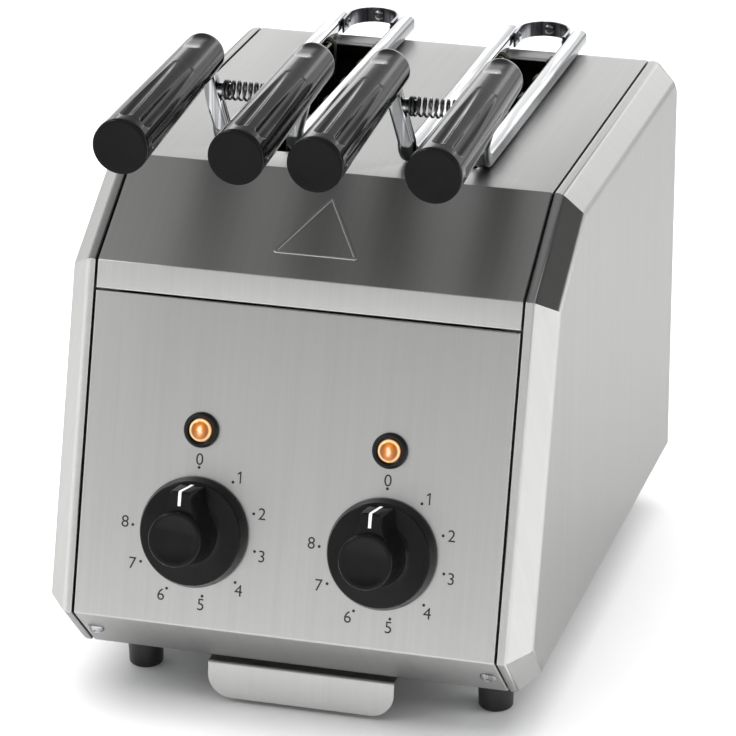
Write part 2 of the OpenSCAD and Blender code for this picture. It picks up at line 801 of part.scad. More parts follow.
// Tray of folded sheet, and the flap that bends down from it at the front
module crumb_tray() {
    flap_t = tray_sheet / sin(flap_angle);
    flap_z = tray_floor - flap_drop;
    color(STEEL) place() {
        difference() {
            translate([-tray_w / 2, tray_wall_y, tray_floor]) cube([tray_w, tray_y1 - tray_wall_y, tray_h]);
            translate([-tray_w / 2 + tray_sheet, tray_wall_y + tray_sheet, tray_floor + tray_sheet])
                cube([tray_w - 2 * tray_sheet, tray_y1 - tray_wall_y - 2 * tray_sheet, tray_h]);
        }
        intersection() {
            along_x(-tray_w / 2, tray_w / 2) polygon([
                [tray_wall_y + tray_sheet / 2, tray_floor], [tray_y0 + flap_t, tray_floor],
                [tray_y0 + flap_t - flap_run, flap_z], [tray_y0 - flap_run, flap_z],
                [tray_y0, tray_floor], [tray_y0 + tray_sheet / 2, tray_floor + tray_sheet],
                [tray_wall_y + tray_sheet / 2, tray_floor + tray_sheet]
            ]);
            translate([0, tray_wall_y + tray_sheet, flap_z]) rotate([90, 0, 0])
                linear_extrude(tray_wall_y - tray_y0 + 2 * flap_run + 2 * tray_sheet)
                    rounded_rect(flap_w, flap_drop + tray_h + 2 * flap_r, flap_r);
        }
    }
}

// Tongs

// Riser from a rod's bend up into its handle, widened by grow on every side
module riser(side, grow = 0) {
    half = bar / 2 + grow;
    z0 = rod_z + bend_r;
    z1 = axis_z + half;
    translate([0, rod_y0 + half, 0]) rotate([90, 0, 0]) linear_extrude(2 * half) polygon([
        [side * riser_x(z0) - half, z0], [side * riser_x(z0) + half, z0],
        [side * riser_x(z1) + half, z1], [side * riser_x(z1) - half, z1]
    ]);
}

module tang(side, grow = 0) {
    half = bar / 2 + grow;
    on_handle(side) translate([-half, -half, -half]) cube([2 * half, 2 * half, tang_l + half]);
}

// Square chrome bar: rod beside the slot, bend, leaning riser and the tang inside the handle
module tong_arm(tong, side) {
    hollow_l = 25;
    head_d = 5;
    head_h = 1;
    neck_l = 3 * slide_gap + strip_t;
    color(CHROME) place() at_tong(tong) {
        difference() {
            translate([side * rod_off - bar / 2, rod_y0 + bend_r, rod_z - bar / 2])
                cube([bar, rod_y1 - rod_y0 - bend_r, bar]);
            translate([side * rod_off - bar / 2 + bar_wall, rod_y1 - hollow_l, rod_z - bar / 2 + bar_wall])
                cube([bar - 2 * bar_wall, hollow_l + past, bar - 2 * bar_wall]);
        }
        translate([side * rod_off, rod_y0 + bend_r, rod_z + bend_r]) rotate([90, 0, 90]) rotate([0, 0, 180])
            rotate_extrude(angle = 90) translate([bend_r - bar / 2, -bar / 2]) square(bar);
        riser(side);
        tang(side);
        translate([side * riser_x(coil_z), rod_y0, coil_z]) rotate([0, -90 * side, 0])
            cylinder(h = bar / 2 + stud_l, d = stud_d);
        translate([side * rod_in, rivet_y, rod_z]) rotate([0, -90 * side, 0]) {
            translate([0, 0, -bar_wall / 2]) cylinder(h = bar_wall / 2 + neck_l + head_h, d = rivet_d);
            translate([0, 0, neck_l]) cylinder(h = head_h, d = head_d);
        }
    }
}

// Radius of a handle at distance z in front of its riser
function handle_r(z) =
    (handle_d2 + (handle_d1 - handle_d2) * (z + handle_back) / (handle_l + handle_back)) / 2;

// Fluted bakelite handle, moulded over the tang
module tong_handle(tong, side) {
    dome = 6;
    dome_r = handle_r(dome - handle_back);
    edge = 0.8;
    flute_z = handle_l - flute_start;
    flute_l = handle_l * 0.6;
    flute_c0 = handle_r(flute_z) + flute_r - flute_depth;
    flute_c1 = handle_r(flute_z - flute_l) + flute_r - flute_tail;
    flute_tilt = atan2(flute_c0 - flute_c1, flute_l);
    pad_y = handle_d2 / 2 - 0.9;
    pad_l = 20;
    pad_z = -handle_back + dome;
    pin_l = 8;
    color(BLACK) place() at_tong(tong) difference() {
        on_handle(side) difference() {
            rotate([0, 0, 180 / flute_n]) rotate_extrude() polygon(concat(
                [for (a = [0 : 15 : 90]) [dome_r * sin(a), dome * (1 - cos(a)) - handle_back]],
                [[handle_d1 / 2, handle_l - edge], [handle_d1 / 2 - edge, handle_l], [0, handle_l]]
            ));
            for (k = [0 : flute_n - 1]) rotate([0, 0, 360 * k / flute_n])
                translate([flute_c0, 0, flute_z]) rotate([0, 180 + flute_tilt, 0]) rotate([0, 0, 180]) {
                    cylinder(h = flute_l, r = flute_r);
                    sphere(r = flute_r);
                }
            translate([-handle_d1 / 2, pad_y, pad_z]) cube([handle_d1, handle_d1, pad_l]);
            translate([0, 0, handle_l - pin_l]) cylinder(h = pin_l + past, d = rivet_d + 2 * run_gap);
        }
        riser(side, seat_gap);
        tang(side, seat_gap);
    }
}

module tong_plug(tong, side) {
    edge = 0.6;
    pin_l = 7;
    color(BLACK) place() at_tong(tong) on_handle(side) translate([0, 0, handle_l]) {
        rotate_extrude() polygon([
            [0, 0], [plug_r, 0], [plug_r, plug_t - edge], [plug_r - edge, plug_t], [0, plug_t]
        ]);
        translate([0, 0, -pin_l]) cylinder(h = pin_l, d = rivet_d);
    }
}

// One side of the wire cage: uprights hung from the rod, rails along the slot and hooks under the sandwich
module tong_cage(tong, side) {
    rails = [top_z - cage_drop, (top_z - cage_drop + cage_z) / 2, cage_z];
    rail_d = cage_d - 0.4;
    hook_d = cage_d - 0.8;
    up_z0 = cage_z - cage_d / 2;
    up_z1 = rod_z - cage_bend;
    color(CHROME) place() at_tong(tong) {
        for (k = [0 : cage_n - 1]) translate([0, cage_y0 + k * cage_step, 0]) {
            translate([side * cage_off, 0, up_z0]) cylinder(h = up_z1 - up_z0, d = cage_d);
            translate([side * (cage_off + cage_bend), 0, up_z1]) {
                rotate([90, 0, 0]) rotate([0, 0, side == LEFT ? 0 : 90]) rotate_extrude(angle = 90)
                    translate([cage_bend, 0]) circle(d = cage_d);
                translate([0, 0, cage_bend]) rotate([0, 90 * side, 0])
                    cylinder(h = rod_in - cage_off - cage_bend, d = cage_d);
            }
        }
        for (z = rails) along_y([side * cage_off, z], cage_y0, cage_y1, rail_d);
        for (k = [0 : cage_n - 2]) if ((k + (side == LEFT ? 0 : 1)) % 2 == 0)
            translate([side * cage_off, cage_y0 + (k + 0.5) * cage_step, cage_z]) rotate([0, -90 * side, 0])
                cylinder(h = hook_l, d = hook_d);
    }
}

// Bowed spring strip that joins the rear ends of the two rods
module tong_strip(tong) {
    hole_d = rivet_d + 2 * slide_gap;
    color("#4a4a4a") place() at_tong(tong) translate([0, 0, rod_z]) difference() {
        translate([0, strip_y, -strip_h / 2]) linear_extrude(strip_h) {
            difference() {
                circle(strip_r);
                circle(strip_r - strip_t);
                translate([-strip_r - past, -strip_r - past]) square([2 * (strip_r + past), strip_r + past]);
            }
            for (x = [-strip_r, strip_r - strip_t]) translate([x, -tab_l]) square([strip_t, tab_l]);
        }
        translate([0, rivet_y, 0]) rotate([0, 90, 0]) cylinder(h = 2 * rod_off, d = hole_d, center = true);
        translate([0, strip_y, 0]) rotate([-90, 0, 0]) cylinder(h = 2 * strip_r, d = rivet_d + 2 * seat_gap);
    }
}

// Rivet in the middle of the bow
module tong_rivet(tong) {
    head_d = 5;
    head_h = 1.2;
    bow_r = strip_r - strip_t;
    seat_y = strip_y + sqrt(bow_r * bow_r - head_d * head_d / 4);
    shank_l = strip_y + strip_r - seat_y;
    color(CHROME) place() at_tong(tong) translate([0, seat_y, rod_z]) rotate([90, 0, 0]) {
        cylinder(h = head_h, d = head_d);
        translate([0, 0, -shank_l]) cylinder(h = shank_l + head_h / 2, d = rivet_d);
    }
}

module tong_spring(tong) {
    color(DARK_STEEL) place() at_tong(tong) translate([0, rod_y0, coil_z])
        polyhedron(coil_points, coil_faces);
}

top_cover();
control_panel();
rear_panel();
base_pan();
end_cap(LEFT);  // left_end_cap
end_cap(RIGHT);  // right_end_cap
front_bulkhead();
oven_liner(LEFT);  // left_oven_liner
oven_liner(RIGHT);  // right_oven_liner
quartz_tubes(LEFT);  // left_quartz_tubes
quartz_tubes(RIGHT);  // right_quartz_tubes
tube_ceramics(LEFT);  // left_tube_ceramics
tube_ceramics(RIGHT);  // right_tube_ceramics
guard_rods(LEFT);  // left_guard_rods
guard_rods(RIGHT);  // right_guard_rods
timer(LEFT);  // left_timer
timer(RIGHT);  // right_timer
timer_shaft(LEFT);  // left_timer_shaft
timer_shaft(RIGHT);  // right_timer_shaft
knob(LEFT);  // left_knob
knob(RIGHT);  // right_knob
lamp_bezel(LEFT);  // left_lamp_bezel
lamp_bezel(RIGHT);  // right_lamp_bezel
lamp_lens(LEFT);  // left_lamp_lens
lamp_lens(RIGHT);  // right_lamp_lens
strip_screws();
cable_gland();
terminal_block();
foot(LEFT, foot_y0);  // front_left_foot
foot(RIGHT, foot_y0);  // front_right_foot
foot(LEFT, foot_y1);  // rear_left_foot
foot(RIGHT, foot_y1);  // rear_right_foot
tray_rails();
crumb_tray();
tong_strip(LEFT);  // left_tong_strip
tong_rivet(LEFT);  // left_tong_rivet
tong_spring(LEFT);  // left_tong_spring
tong_arm(LEFT, LEFT);  // left_tong_outer_arm
tong_handle(LEFT, LEFT);  // left_tong_outer_handle
tong_plug(LEFT, LEFT);  // left_tong_outer_plug
tong_cage(LEFT, LEFT);  // left_tong_outer_cage
tong_arm(LEFT, RIGHT);  // left_tong_inner_arm
tong_handle(LEFT, RIGHT);  // left_tong_inner_handle
tong_plug(LEFT, RIGHT);  // left_tong_inner_plug
tong_cage(LEFT, RIGHT);  // left_tong_inner_cage
tong_strip(RIGHT);  // right_tong_strip
tong_rivet(RIGHT);  // right_tong_rivet
tong_spring(RIGHT);  // right_tong_spring
tong_arm(RIGHT, RIGHT);  // right_tong_outer_arm
tong_handle(RIGHT, RIGHT);  // right_tong_outer_handle
tong_plug(RIGHT, RIGHT);  // right_tong_outer_plug
tong_cage(RIGHT, RIGHT);  // right_tong_outer_cage
tong_arm(RIGHT, LEFT);  // right_tong_inner_arm
tong_handle(RIGHT, LEFT);  // right_tong_inner_handle
tong_plug(RIGHT, LEFT);  // right_tong_inner_plug
tong_cage(RIGHT, LEFT);  // right_tong_inner_cage
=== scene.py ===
"""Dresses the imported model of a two-slot sandwich toaster with lift-out tongs."""

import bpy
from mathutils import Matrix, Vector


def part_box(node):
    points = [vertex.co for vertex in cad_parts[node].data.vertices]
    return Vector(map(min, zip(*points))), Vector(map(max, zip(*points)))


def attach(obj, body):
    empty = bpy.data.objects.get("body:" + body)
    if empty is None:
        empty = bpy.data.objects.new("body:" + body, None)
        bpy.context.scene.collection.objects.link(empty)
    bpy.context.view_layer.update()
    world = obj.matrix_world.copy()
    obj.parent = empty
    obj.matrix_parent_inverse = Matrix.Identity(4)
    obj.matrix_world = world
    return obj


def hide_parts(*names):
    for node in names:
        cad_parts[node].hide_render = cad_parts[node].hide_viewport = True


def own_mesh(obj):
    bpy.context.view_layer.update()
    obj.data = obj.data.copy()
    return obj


bl_info = {
    "name": "Sandwich toaster with tongs",
    "version": (1, 0, 0),
    "blender": (4, 5, 0),
    "location": "3D View > Sidebar > Toaster",
    "description": "Casing, controls, tongs and stage of a two-slot sandwich toaster",
    "category": "Add Mesh",
}

import math

import bmesh
import bpy
from bpy.props import FloatProperty, FloatVectorProperty, IntProperty, PointerProperty
from mathutils import Euler, Matrix, Vector

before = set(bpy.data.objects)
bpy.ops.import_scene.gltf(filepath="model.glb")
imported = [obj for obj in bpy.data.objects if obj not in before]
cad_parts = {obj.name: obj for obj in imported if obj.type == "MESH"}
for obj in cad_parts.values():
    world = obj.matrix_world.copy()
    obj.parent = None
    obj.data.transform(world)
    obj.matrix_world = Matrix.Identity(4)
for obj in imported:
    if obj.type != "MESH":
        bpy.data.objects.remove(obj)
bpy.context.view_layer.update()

MM = 0.001
MERGE = 0.002
LEFT = -1
RIGHT = 1
SIDES = {LEFT: "left", RIGHT: "right"}

# Sizes in millimetres: the part's own, and the bends, edges and clearances that only the scene has
COVER_HALF = 100.0
HEM = 4.0
SHEET = 1.0
SHEET_LINES = (-60.0, -30.0, 0.0, 30.0, 60.0)
TURN_R = 0.8
TURN_DEPTH = 3.0
SEAM_GAP = 1.0
CAP_LIP = 3.5
CAP_CHAMFER = 10.5
FLANGE_W = 10.0
SEAM_DROP = 13.5
LINE_GAP = 0.8
REAR_TURN = 14.0
SLOT_X = 44.5
SLOT_W = 28.0
SLOT_R = 3.0
SLOT_FRONT = 22.0
SLOT_REAR = 26.0
COLLAR_H = 8.0
BASE_Z = 25.0
FRONT_Z = 51.5
PANEL_RISE = 157.0
PANEL_LEAN = math.radians(16.6)
STRIP_RUN = 27.0
SLOPE_RUN = 53.0
TOP_DEPTH = 213.5
TOP_Z = 241.5
REAR_CORNER = 11.0
KNOB_S = 44.0
KNOB_GAP = 0.8
LAMP_S = 91.0
POINTER_H = 25.5
INK = 0.03
TRAY_W = 132.0
TRAY_IN = 3.0
TRAY_WALL = 11.0
TRAY_FLOOR = 19.4
TRAY_SHEET = 0.8
FLAP_HALF = 45.0
FLAP_RUN = 2.0
FLAP_DROP = 16.5
FLAP_R = 11.0
BAR = 8.0
BAR_WALL = 1.0
BORE_L = 25.0
ROD_AHEAD = 5.0
ROD_SHORT = 1.0
ROD_OFF = 17.5
HANDLE_OFF = 26.5
RISER_H = 41.0
BEND_R = 8.0
HANDLE_DIP = math.radians(2.9)
HANDLE_L = 116.0
HANDLE_BACK = 7.0
HANDLE_D1 = 25.5
HANDLE_D2 = 20.0
HANDLE_EDGE = 0.9
DOME = 6.0
FLUTE_FRONT = HANDLE_L - 9.0
FLUTE_REACH = HANDLE_L * 0.6
FLUTE_END = 3.4
NO_FLUTE = (1.0, 0.0, 0.0)
THUMB_AT = 9.5
THUMB_HALF = 10.0
STRIP_H = 7.6
STRIP_T = 1.2
STRIP_SHORT = 2.0
TAB_L = 10.0
RIVET_R = 1.5
RIVET_HEAD = 2.5
COIL_D = 8.4
WIRE_D = 1.2
COIL_TURNS = 13
COIL_RISE = 25.0
CAGE_D = 2.4
CAGE_OFF = 10.5
CAGE_DEPTH = 128.0
CAGE_DROP = 14.0
CAGE_FRONT = 8.0
CAGE_REAR = 10.0
CAGE_N = 6
HOOK_L = 5.5
SLIDE_GAP = 0.3

# The side profile of the casing as (Y, Z) corners, clockwise from the front of the base
PANEL_Y = PANEL_RISE * math.tan(PANEL_LEAN)
SLOPE_Y = PANEL_Y + SLOPE_RUN
REAR_Y = SLOPE_Y + TOP_DEPTH
SHIFT_Y = REAR_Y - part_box("rear_panel")[1].y / MM
CORNERS = [
    Vector((y - SHIFT_Y, z))
    for y, z in (
        (STRIP_RUN, BASE_Z),
        (0.0, FRONT_Z),
        (PANEL_Y, FRONT_Z + PANEL_RISE),
        (SLOPE_Y, TOP_Z),
        (REAR_Y - REAR_CORNER, TOP_Z),
        (REAR_Y, TOP_Z - REAR_CORNER),
        (REAR_Y, BASE_Z),
    )
]
E_STRIP, E_FRONT, E_SLOPE, E_REAR = 0, 1, 2, 5
REAR_BENDS = (4, 5)
SLOT_Y0 = SLOPE_Y + SLOT_FRONT - SHIFT_Y
SLOT_Y1 = REAR_Y - SLOT_REAR - SHIFT_Y
ROD_Z = TOP_Z + SLIDE_GAP + BAR / 2
ROD_Y0 = SLOT_Y0 - ROD_AHEAD
ROD_Y1 = REAR_Y - ROD_SHORT - SHIFT_Y
AXIS_Z = ROD_Z + RISER_H
COIL_Z = ROD_Z + COIL_RISE
ROD_IN = ROD_OFF - BAR / 2
STRIP_R = ROD_IN - SLIDE_GAP
STRIP_Y = ROD_Y1 - STRIP_SHORT
RIVET_Y = STRIP_Y - TAB_L / 2


# Profile and frames


def corner(i):
    return CORNERS[i % len(CORNERS)]


def edge_dir(i):
    return (corner(i + 1) - corner(i)).normalized()


def edge_len(i):
    return (corner(i + 1) - corner(i)).length


def edge_in(i):
    d = edge_dir(i)
    return Vector((d.y, -d.x))


def inset(i, depth):
    a = edge_in(i - 1)
    b = edge_in(i)
    return corner(i) + depth * (a + b) / (1 + a.dot(b))


def on_edge(i, t, depth=0.0):
    return corner(i) + t * edge_dir(i) + depth * edge_in(i)


def frame_on(i, x, t):
    """Frame on edge i of the profile in millimetres: X right, Y along the edge, Z out of the sheet."""
    p = on_edge(i, t)
    d = edge_dir(i)
    n = -edge_in(i)
    return Matrix(((1.0, 0.0, 0.0, x), (0.0, d.x, n.x, p.x), (0.0, d.y, n.y, p.y), (0.0, 0.0, 0.0, 1.0)))


def handle_frame(tong, side):
    """Frame of a handle in millimetres: Z along its axis to the front, Y up."""
    m = Matrix.Rotation(math.pi / 2 + HANDLE_DIP, 4, "X")
    m.translation = Vector((tong * SLOT_X + side * HANDLE_OFF, ROD_Y0, AXIS_Z))
    return m


def riser_x(z):
    return ROD_OFF + (HANDLE_OFF - ROD_OFF) * (z - ROD_Z - BEND_R) / (RISER_H - BEND_R)


def arm_names(tong, side):
    """The start of an arm's node names, and its body."""
    which = "outer" if tong == side else "inner"
    return "%s_tong_%s" % (SIDES[tong], which), "%s_%s_arm" % (SIDES[tong], which)


def quarter(steps):
    """Angles of a quarter turn in equal steps."""
    return [math.pi / 2 * k / steps for k in range(steps + 1)]


def arc(cx, cy, r, a0, a1, steps):
    """Points on an arc, angles in degrees."""
    angles = [math.radians(a0 + (a1 - a0) * k / steps) for k in range(steps + 1)]
    return [(cx + r * math.cos(a), cy + r * math.sin(a)) for a in angles]


def dome(r, z, h, steps):
    """Points of a dome of radius r and height h that stands on z, after its first."""
    return [(r * math.cos(a), z + h * math.sin(a)) for a in quarter(steps)[1:]]


def with_normals(path):
    """The points of a path in a plane, each with the direction to its left."""
    points = [Vector(p) for p in path]
    found = []
    for p, a, b in zip(points, points[:1] + points, points[1:] + points[-1:]):
        d = (b - a).normalized()
        found.append((p, Vector((-d.y, d.x))))
    return found


def rounded_outline(w, l, r, steps, y0):
    """Counterclockwise outline of a rounded rectangle from y0 to y0 + l, centred in x."""
    x = w / 2 - r
    low = y0 + r
    high = y0 + l - r
    points = []
    for cx, cy, a0 in ((x, low, -90), (x, high, 0), (-x, high, 90), (-x, low, 180)):
        points += arc(cx, cy, r, a0, a0 + 90, steps)
    return points


# Materials


def linear(colour, factor=1.0, lift=0.0):
    """An sRGB hex colour as linear RGBA, made darker or lighter by a factor and a lift."""
    parts = [int(colour[k : k + 2], 16) / 255 for k in (1, 3, 5)]
    parts = [c / 12.92 if c <= 0.04045 else ((c + 0.055) / 1.055) ** 2.4 for c in parts]
    return [min(1.0, c * factor + lift) for c in parts] + [1.0]


def grey(value):
    return [value, value, value, 1.0]


def add(tree, kind, inputs=None, stops=(), out=0, **settings):
    """Adds a node with its settings, links and ramp stops; returns an output, or the node for None."""
    n = tree.nodes.new(kind)
    for key, value in settings.items():
        setattr(n, key, value)
    for key, value in (inputs or {}).items():
        if isinstance(value, bpy.types.NodeSocket):
            tree.links.new(value, n.inputs[key])
        else:
            n.inputs[key].default_value = value
    for _ in stops[2:]:
        n.color_ramp.elements.new(0.5)
    for k, (place, colour) in enumerate(stops):
        n.color_ramp.elements[k].position = place
        n.color_ramp.elements[k].color = colour
    return n if out is None else n.outputs[out]


def start(name, sockets):
    """A new material, its tree, its shader with some sockets set, and its Object coordinates."""
    m = bpy.data.materials.new(name)
    m.use_nodes = True
    shader = m.node_tree.nodes["Principled BSDF"]
    for key, value in sockets.items():
        shader.inputs[key].default_value = value
    return m, m.node_tree, shader, add(m.node_tree, "ShaderNodeTexCoord", out="Object")


def finish(tree, shader, colour, rough=None, bump=None, strength=0.0, distance=0.0):
    """Links a material's colour, roughness and height to its shader."""
    ends = {"Base Color": colour, "Roughness": rough}
    if bump is not None:
        relief = {"Height": bump, "Strength": strength, "Distance": distance}
        ends["Normal"] = add(tree, "ShaderNodeBump", relief)
    for key, socket in ends.items():
        if socket is not None:
            tree.links.new(socket, shader.inputs[key])


def brushed_steel(name, colour, across, low, high, rim=0.72):
    """Stainless sheet, belt brushed: long fine scratches that spread a reflection across the grain.
    The scratches are 0.1 mm wide; they are drawn 0.5 mm wide so that they show."""
    m, tree, shader, where = start(name, {"Metallic": 1.0, "Specular Tint": grey(rim)})
    scratches = []
    for length, width, detail in ((60.0, 0.5, 3.0), (260.0, 3.0, 2.0)):
        scale = [1.0 / (length * MM)] * 3
        scale[across] = 1.0 / (width * MM)
        place = add(tree, "ShaderNodeMapping", {"Vector": where, "Scale": scale})
        scratches.append(add(tree, "ShaderNodeTexNoise", {"Vector": place, "Scale": 1.0, "Detail": detail}))
    cloud = add(tree, "ShaderNodeTexNoise", {"Vector": where, "Scale": 22.0, "Detail": 3.0})
    both = add(tree, "ShaderNodeMath", {0: scratches[0], 1: scratches[1]}, operation="ADD")
    both = add(tree, "ShaderNodeMath", {0: both, 1: 0.5}, operation="MULTIPLY")
    gloss = add(tree, "ShaderNodeMath", {0: both, 1: cloud}, operation="ADD")
    tints = [(0.3, linear(colour, 0.95)), (0.7, linear(colour, 1.03))]
    tint = add(tree, "ShaderNodeValToRGB", {"Fac": both}, tints)
    rough = add(tree, "ShaderNodeValToRGB", {"Fac": gloss}, [(0.3, grey(low)), (0.75, grey(high))])
    finish(tree, shader, tint, rough, scratches[0], 0.12, 0.00004)
    return m


def zinc_steel(name, colour, low, high):
    """Hot-dip galvanised sheet: grey with crystal spangles about 8 mm across that catch light differently."""
    m, tree, shader, where = start(name, {"Metallic": 0.9})
    cells = add(tree, "ShaderNodeTexVoronoi", {"Vector": where, "Scale": 1.0 / (8.0 * MM)}, out="Color")
    grains = {"Vector": where, "Scale": 1.0 / (1.2 * MM), "Detail": 2.0}
    grainy = add(tree, "ShaderNodeTexNoise", grains, out="Color")
    mixed = add(tree, "ShaderNodeMix", {"Factor": 0.35, 6: cells, 7: grainy}, out=2, data_type="RGBA")
    value = add(tree, "ShaderNodeRGBToBW", {"Color": mixed})
    tints = [(0.2, linear(colour, 0.75)), (0.8, linear(colour))]
    tint = add(tree, "ShaderNodeValToRGB", {"Fac": value}, tints)
    rough = add(tree, "ShaderNodeValToRGB", {"Fac": value}, [(0.2, grey(low)), (0.8, grey(high))])
    finish(tree, shader, tint, rough, value, 0.1, 0.00005)
    return m


def chrome_plate(name, colour, low, high, heat=0.0):
    """Nickel-chrome plate over drawn steel: a mirror with grey lines along the bar, partly drawing lines and
    partly painted reflection stripes; near heat it yellows.
    """
    m, tree, shader, where = start(name, {"Metallic": 1.0})
    lines = (1.0 / (2.6 * MM), 1.0 / (90.0 * MM), 1.0 / (90.0 * MM))
    wipe = add(tree, "ShaderNodeMapping", {"Vector": where, "Scale": lines})
    drawn_lines_and_painted_reflection = add(tree, "ShaderNodeTexNoise", {"Vector": wipe, "Scale": 1.0, "Detail": 3.0})
    # The dark stripe colour is partly drawing lines and partly painted reflection of dark surroundings.
    line = linear(colour, 0.36)
    if heat:
        line = [v * (1.0 - loss * heat) for v, loss in zip(linear(colour), (0.25, 0.4, 0.65))] + [1.0]
    tint = add(tree, "ShaderNodeValToRGB", {"Fac": drawn_lines_and_painted_reflection}, [(0.41, linear(colour)), (0.55, line)])
    rough = add(tree, "ShaderNodeValToRGB", {"Fac": drawn_lines_and_painted_reflection}, [(0.3, grey(low)), (0.75, grey(high))])
    waves = add(tree, "ShaderNodeTexNoise", {"Vector": where, "Scale": 1.0 / (2.5 * MM), "Detail": 1.0})
    finish(tree, shader, tint, rough, waves, 0.02, 0.0001)
    return m


def lamp_amber(name, colour, glow):
    """Moulded amber polycarbonate over a lit neon lamp: a pale glowing column in the middle,
    deep orange beside it and a bright rim where the light runs out of the edge."""
    m, tree, shader, where = start(name, {"IOR": 1.58, "Roughness": 0.12, "Emission Strength": glow})
    face = add(tree, "ShaderNodeUVMap", uv_map="face")
    column = add(tree, "ShaderNodeMapping", {"Vector": face, "Scale": (1.5, 0.75, 1.0)})
    inner = add(tree, "ShaderNodeVectorMath", {0: column}, out="Value", operation="LENGTH")
    outer = add(tree, "ShaderNodeVectorMath", {0: face}, out="Value", operation="LENGTH")
    wave = add(tree, "ShaderNodeTexNoise", {"Vector": where, "Scale": 1.0 / (2.2 * MM), "Detail": 2.0})
    inner = add(tree, "ShaderNodeMath", {0: wave, 1: 0.35, 2: inner}, operation="MULTIPLY_ADD")
    core = [(0.34, linear("#efcbaa")), (0.58, linear(colour)), (0.95, linear("#8f4d06"))]
    core = add(tree, "ShaderNodeValToRGB", {"Fac": inner}, core)
    rim = [(place, grey(value)) for place, value in ((0.72, 0.0), (0.82, 0.85), (0.92, 0.85), (1.0, 0.0))]
    rim = add(tree, "ShaderNodeValToRGB", {"Fac": outer}, rim)
    tint = add(tree, "ShaderNodeMix", {"Factor": rim, 6: core, 7: linear("#f3cf98")}, out=2, data_type="RGBA")
    tree.links.new(tint, shader.inputs["Emission Color"])
    finish(tree, shader, tint, None, wave, 0.2, 0.0004)
    return m


def plain_surface(name, colour, grain_mm, detail, tints, roughs, bump=(), peel_mm=None, sockets=None):
    """A surface whose colour and gloss follow one cloudy pattern of a real size; peel is a finer relief.
    tints are (place, factor, lift), roughs are (place, roughness) and bump is (strength, depth)."""
    m, tree, shader, where = start(name, sockets or {})
    sizes = [(grain_mm, detail)] + ([(peel_mm, 2.0)] if peel_mm else [])
    clouds = [add(tree, "ShaderNodeTexNoise", {"Vector": where, "Scale": 1.0 / (mm * MM), "Detail": fine})
              for mm, fine in sizes]
    tints = [(place, linear(colour, factor, lift)) for place, factor, lift in tints]
    tint = add(tree, "ShaderNodeValToRGB", {"Fac": clouds[0]}, tints)
    roughs = [(place, grey(value)) for place, value in roughs]
    rough = add(tree, "ShaderNodeValToRGB", {"Fac": clouds[0]}, roughs)
    finish(tree, shader, tint, rough, clouds[-1] if bump else None, *bump)
    return m


def moulded_black(name, colour, low, high, peel_mm, depth, shine):
    """Moulded phenolic or ABS: smooth as its mould, a little wavy, dulled where hands and dust touch it."""
    tints = ((0.3, 1.0, 0.0), (0.8, 1.5, 0.002))
    sockets = {"IOR": 1.55, "Specular IOR Level": shine}
    roughs = ((0.3, low), (0.75, high))
    return plain_surface(name, colour, 14.0, 5.0, tints, roughs, (0.15, depth), peel_mm, sockets)


def printed_ink(name, colour):
    """Screen-printed ink: a flat satin film with a slightly uneven edge-to-edge cover."""
    tints = ((0.3, 1.0, 0.0), (0.8, 1.2, 0.004))
    return plain_surface(name, colour, 0.8, 2.0, tints, ((0.3, 0.45), (0.8, 0.6)), (0.05, 0.00002))


def vulcanised_rubber(name, colour):
    """Moulded rubber: dull black with a fine grit that greys at grazing light."""
    tints = ((0.3, 1.0, 0.0), (0.8, 1.7, 0.0))
    roughs = ((0.3, 0.36), (0.8, 0.55))
    return plain_surface(
        name, colour, 0.9, 4.0, tints, roughs, (0.25, 0.00012), sockets={"Sheen Weight": 0.04})


def fired_ceramic(name, colour):
    """Unglazed steatite or fused quartz: pale, chalky, with faint grey clouds."""
    tints = ((0.3, 0.8, 0.0), (0.75, 1.0, 0.0))
    return plain_surface(name, colour, 6.0, 5.0, tints, ((0.3, 0.35), (0.75, 0.6)), (0.15, 0.0001))


def studio_paper(name, colour):
    """Matte paper sweep: nearly white, with a faint fibre cloud."""
    tints = ((0.3, 0.985, 0.0), (0.7, 1.0, 0.0))
    return plain_surface(name, colour, 1000.0 / 6.0, 3.0, tints, ((0.3, 0.8), (0.7, 0.9)))


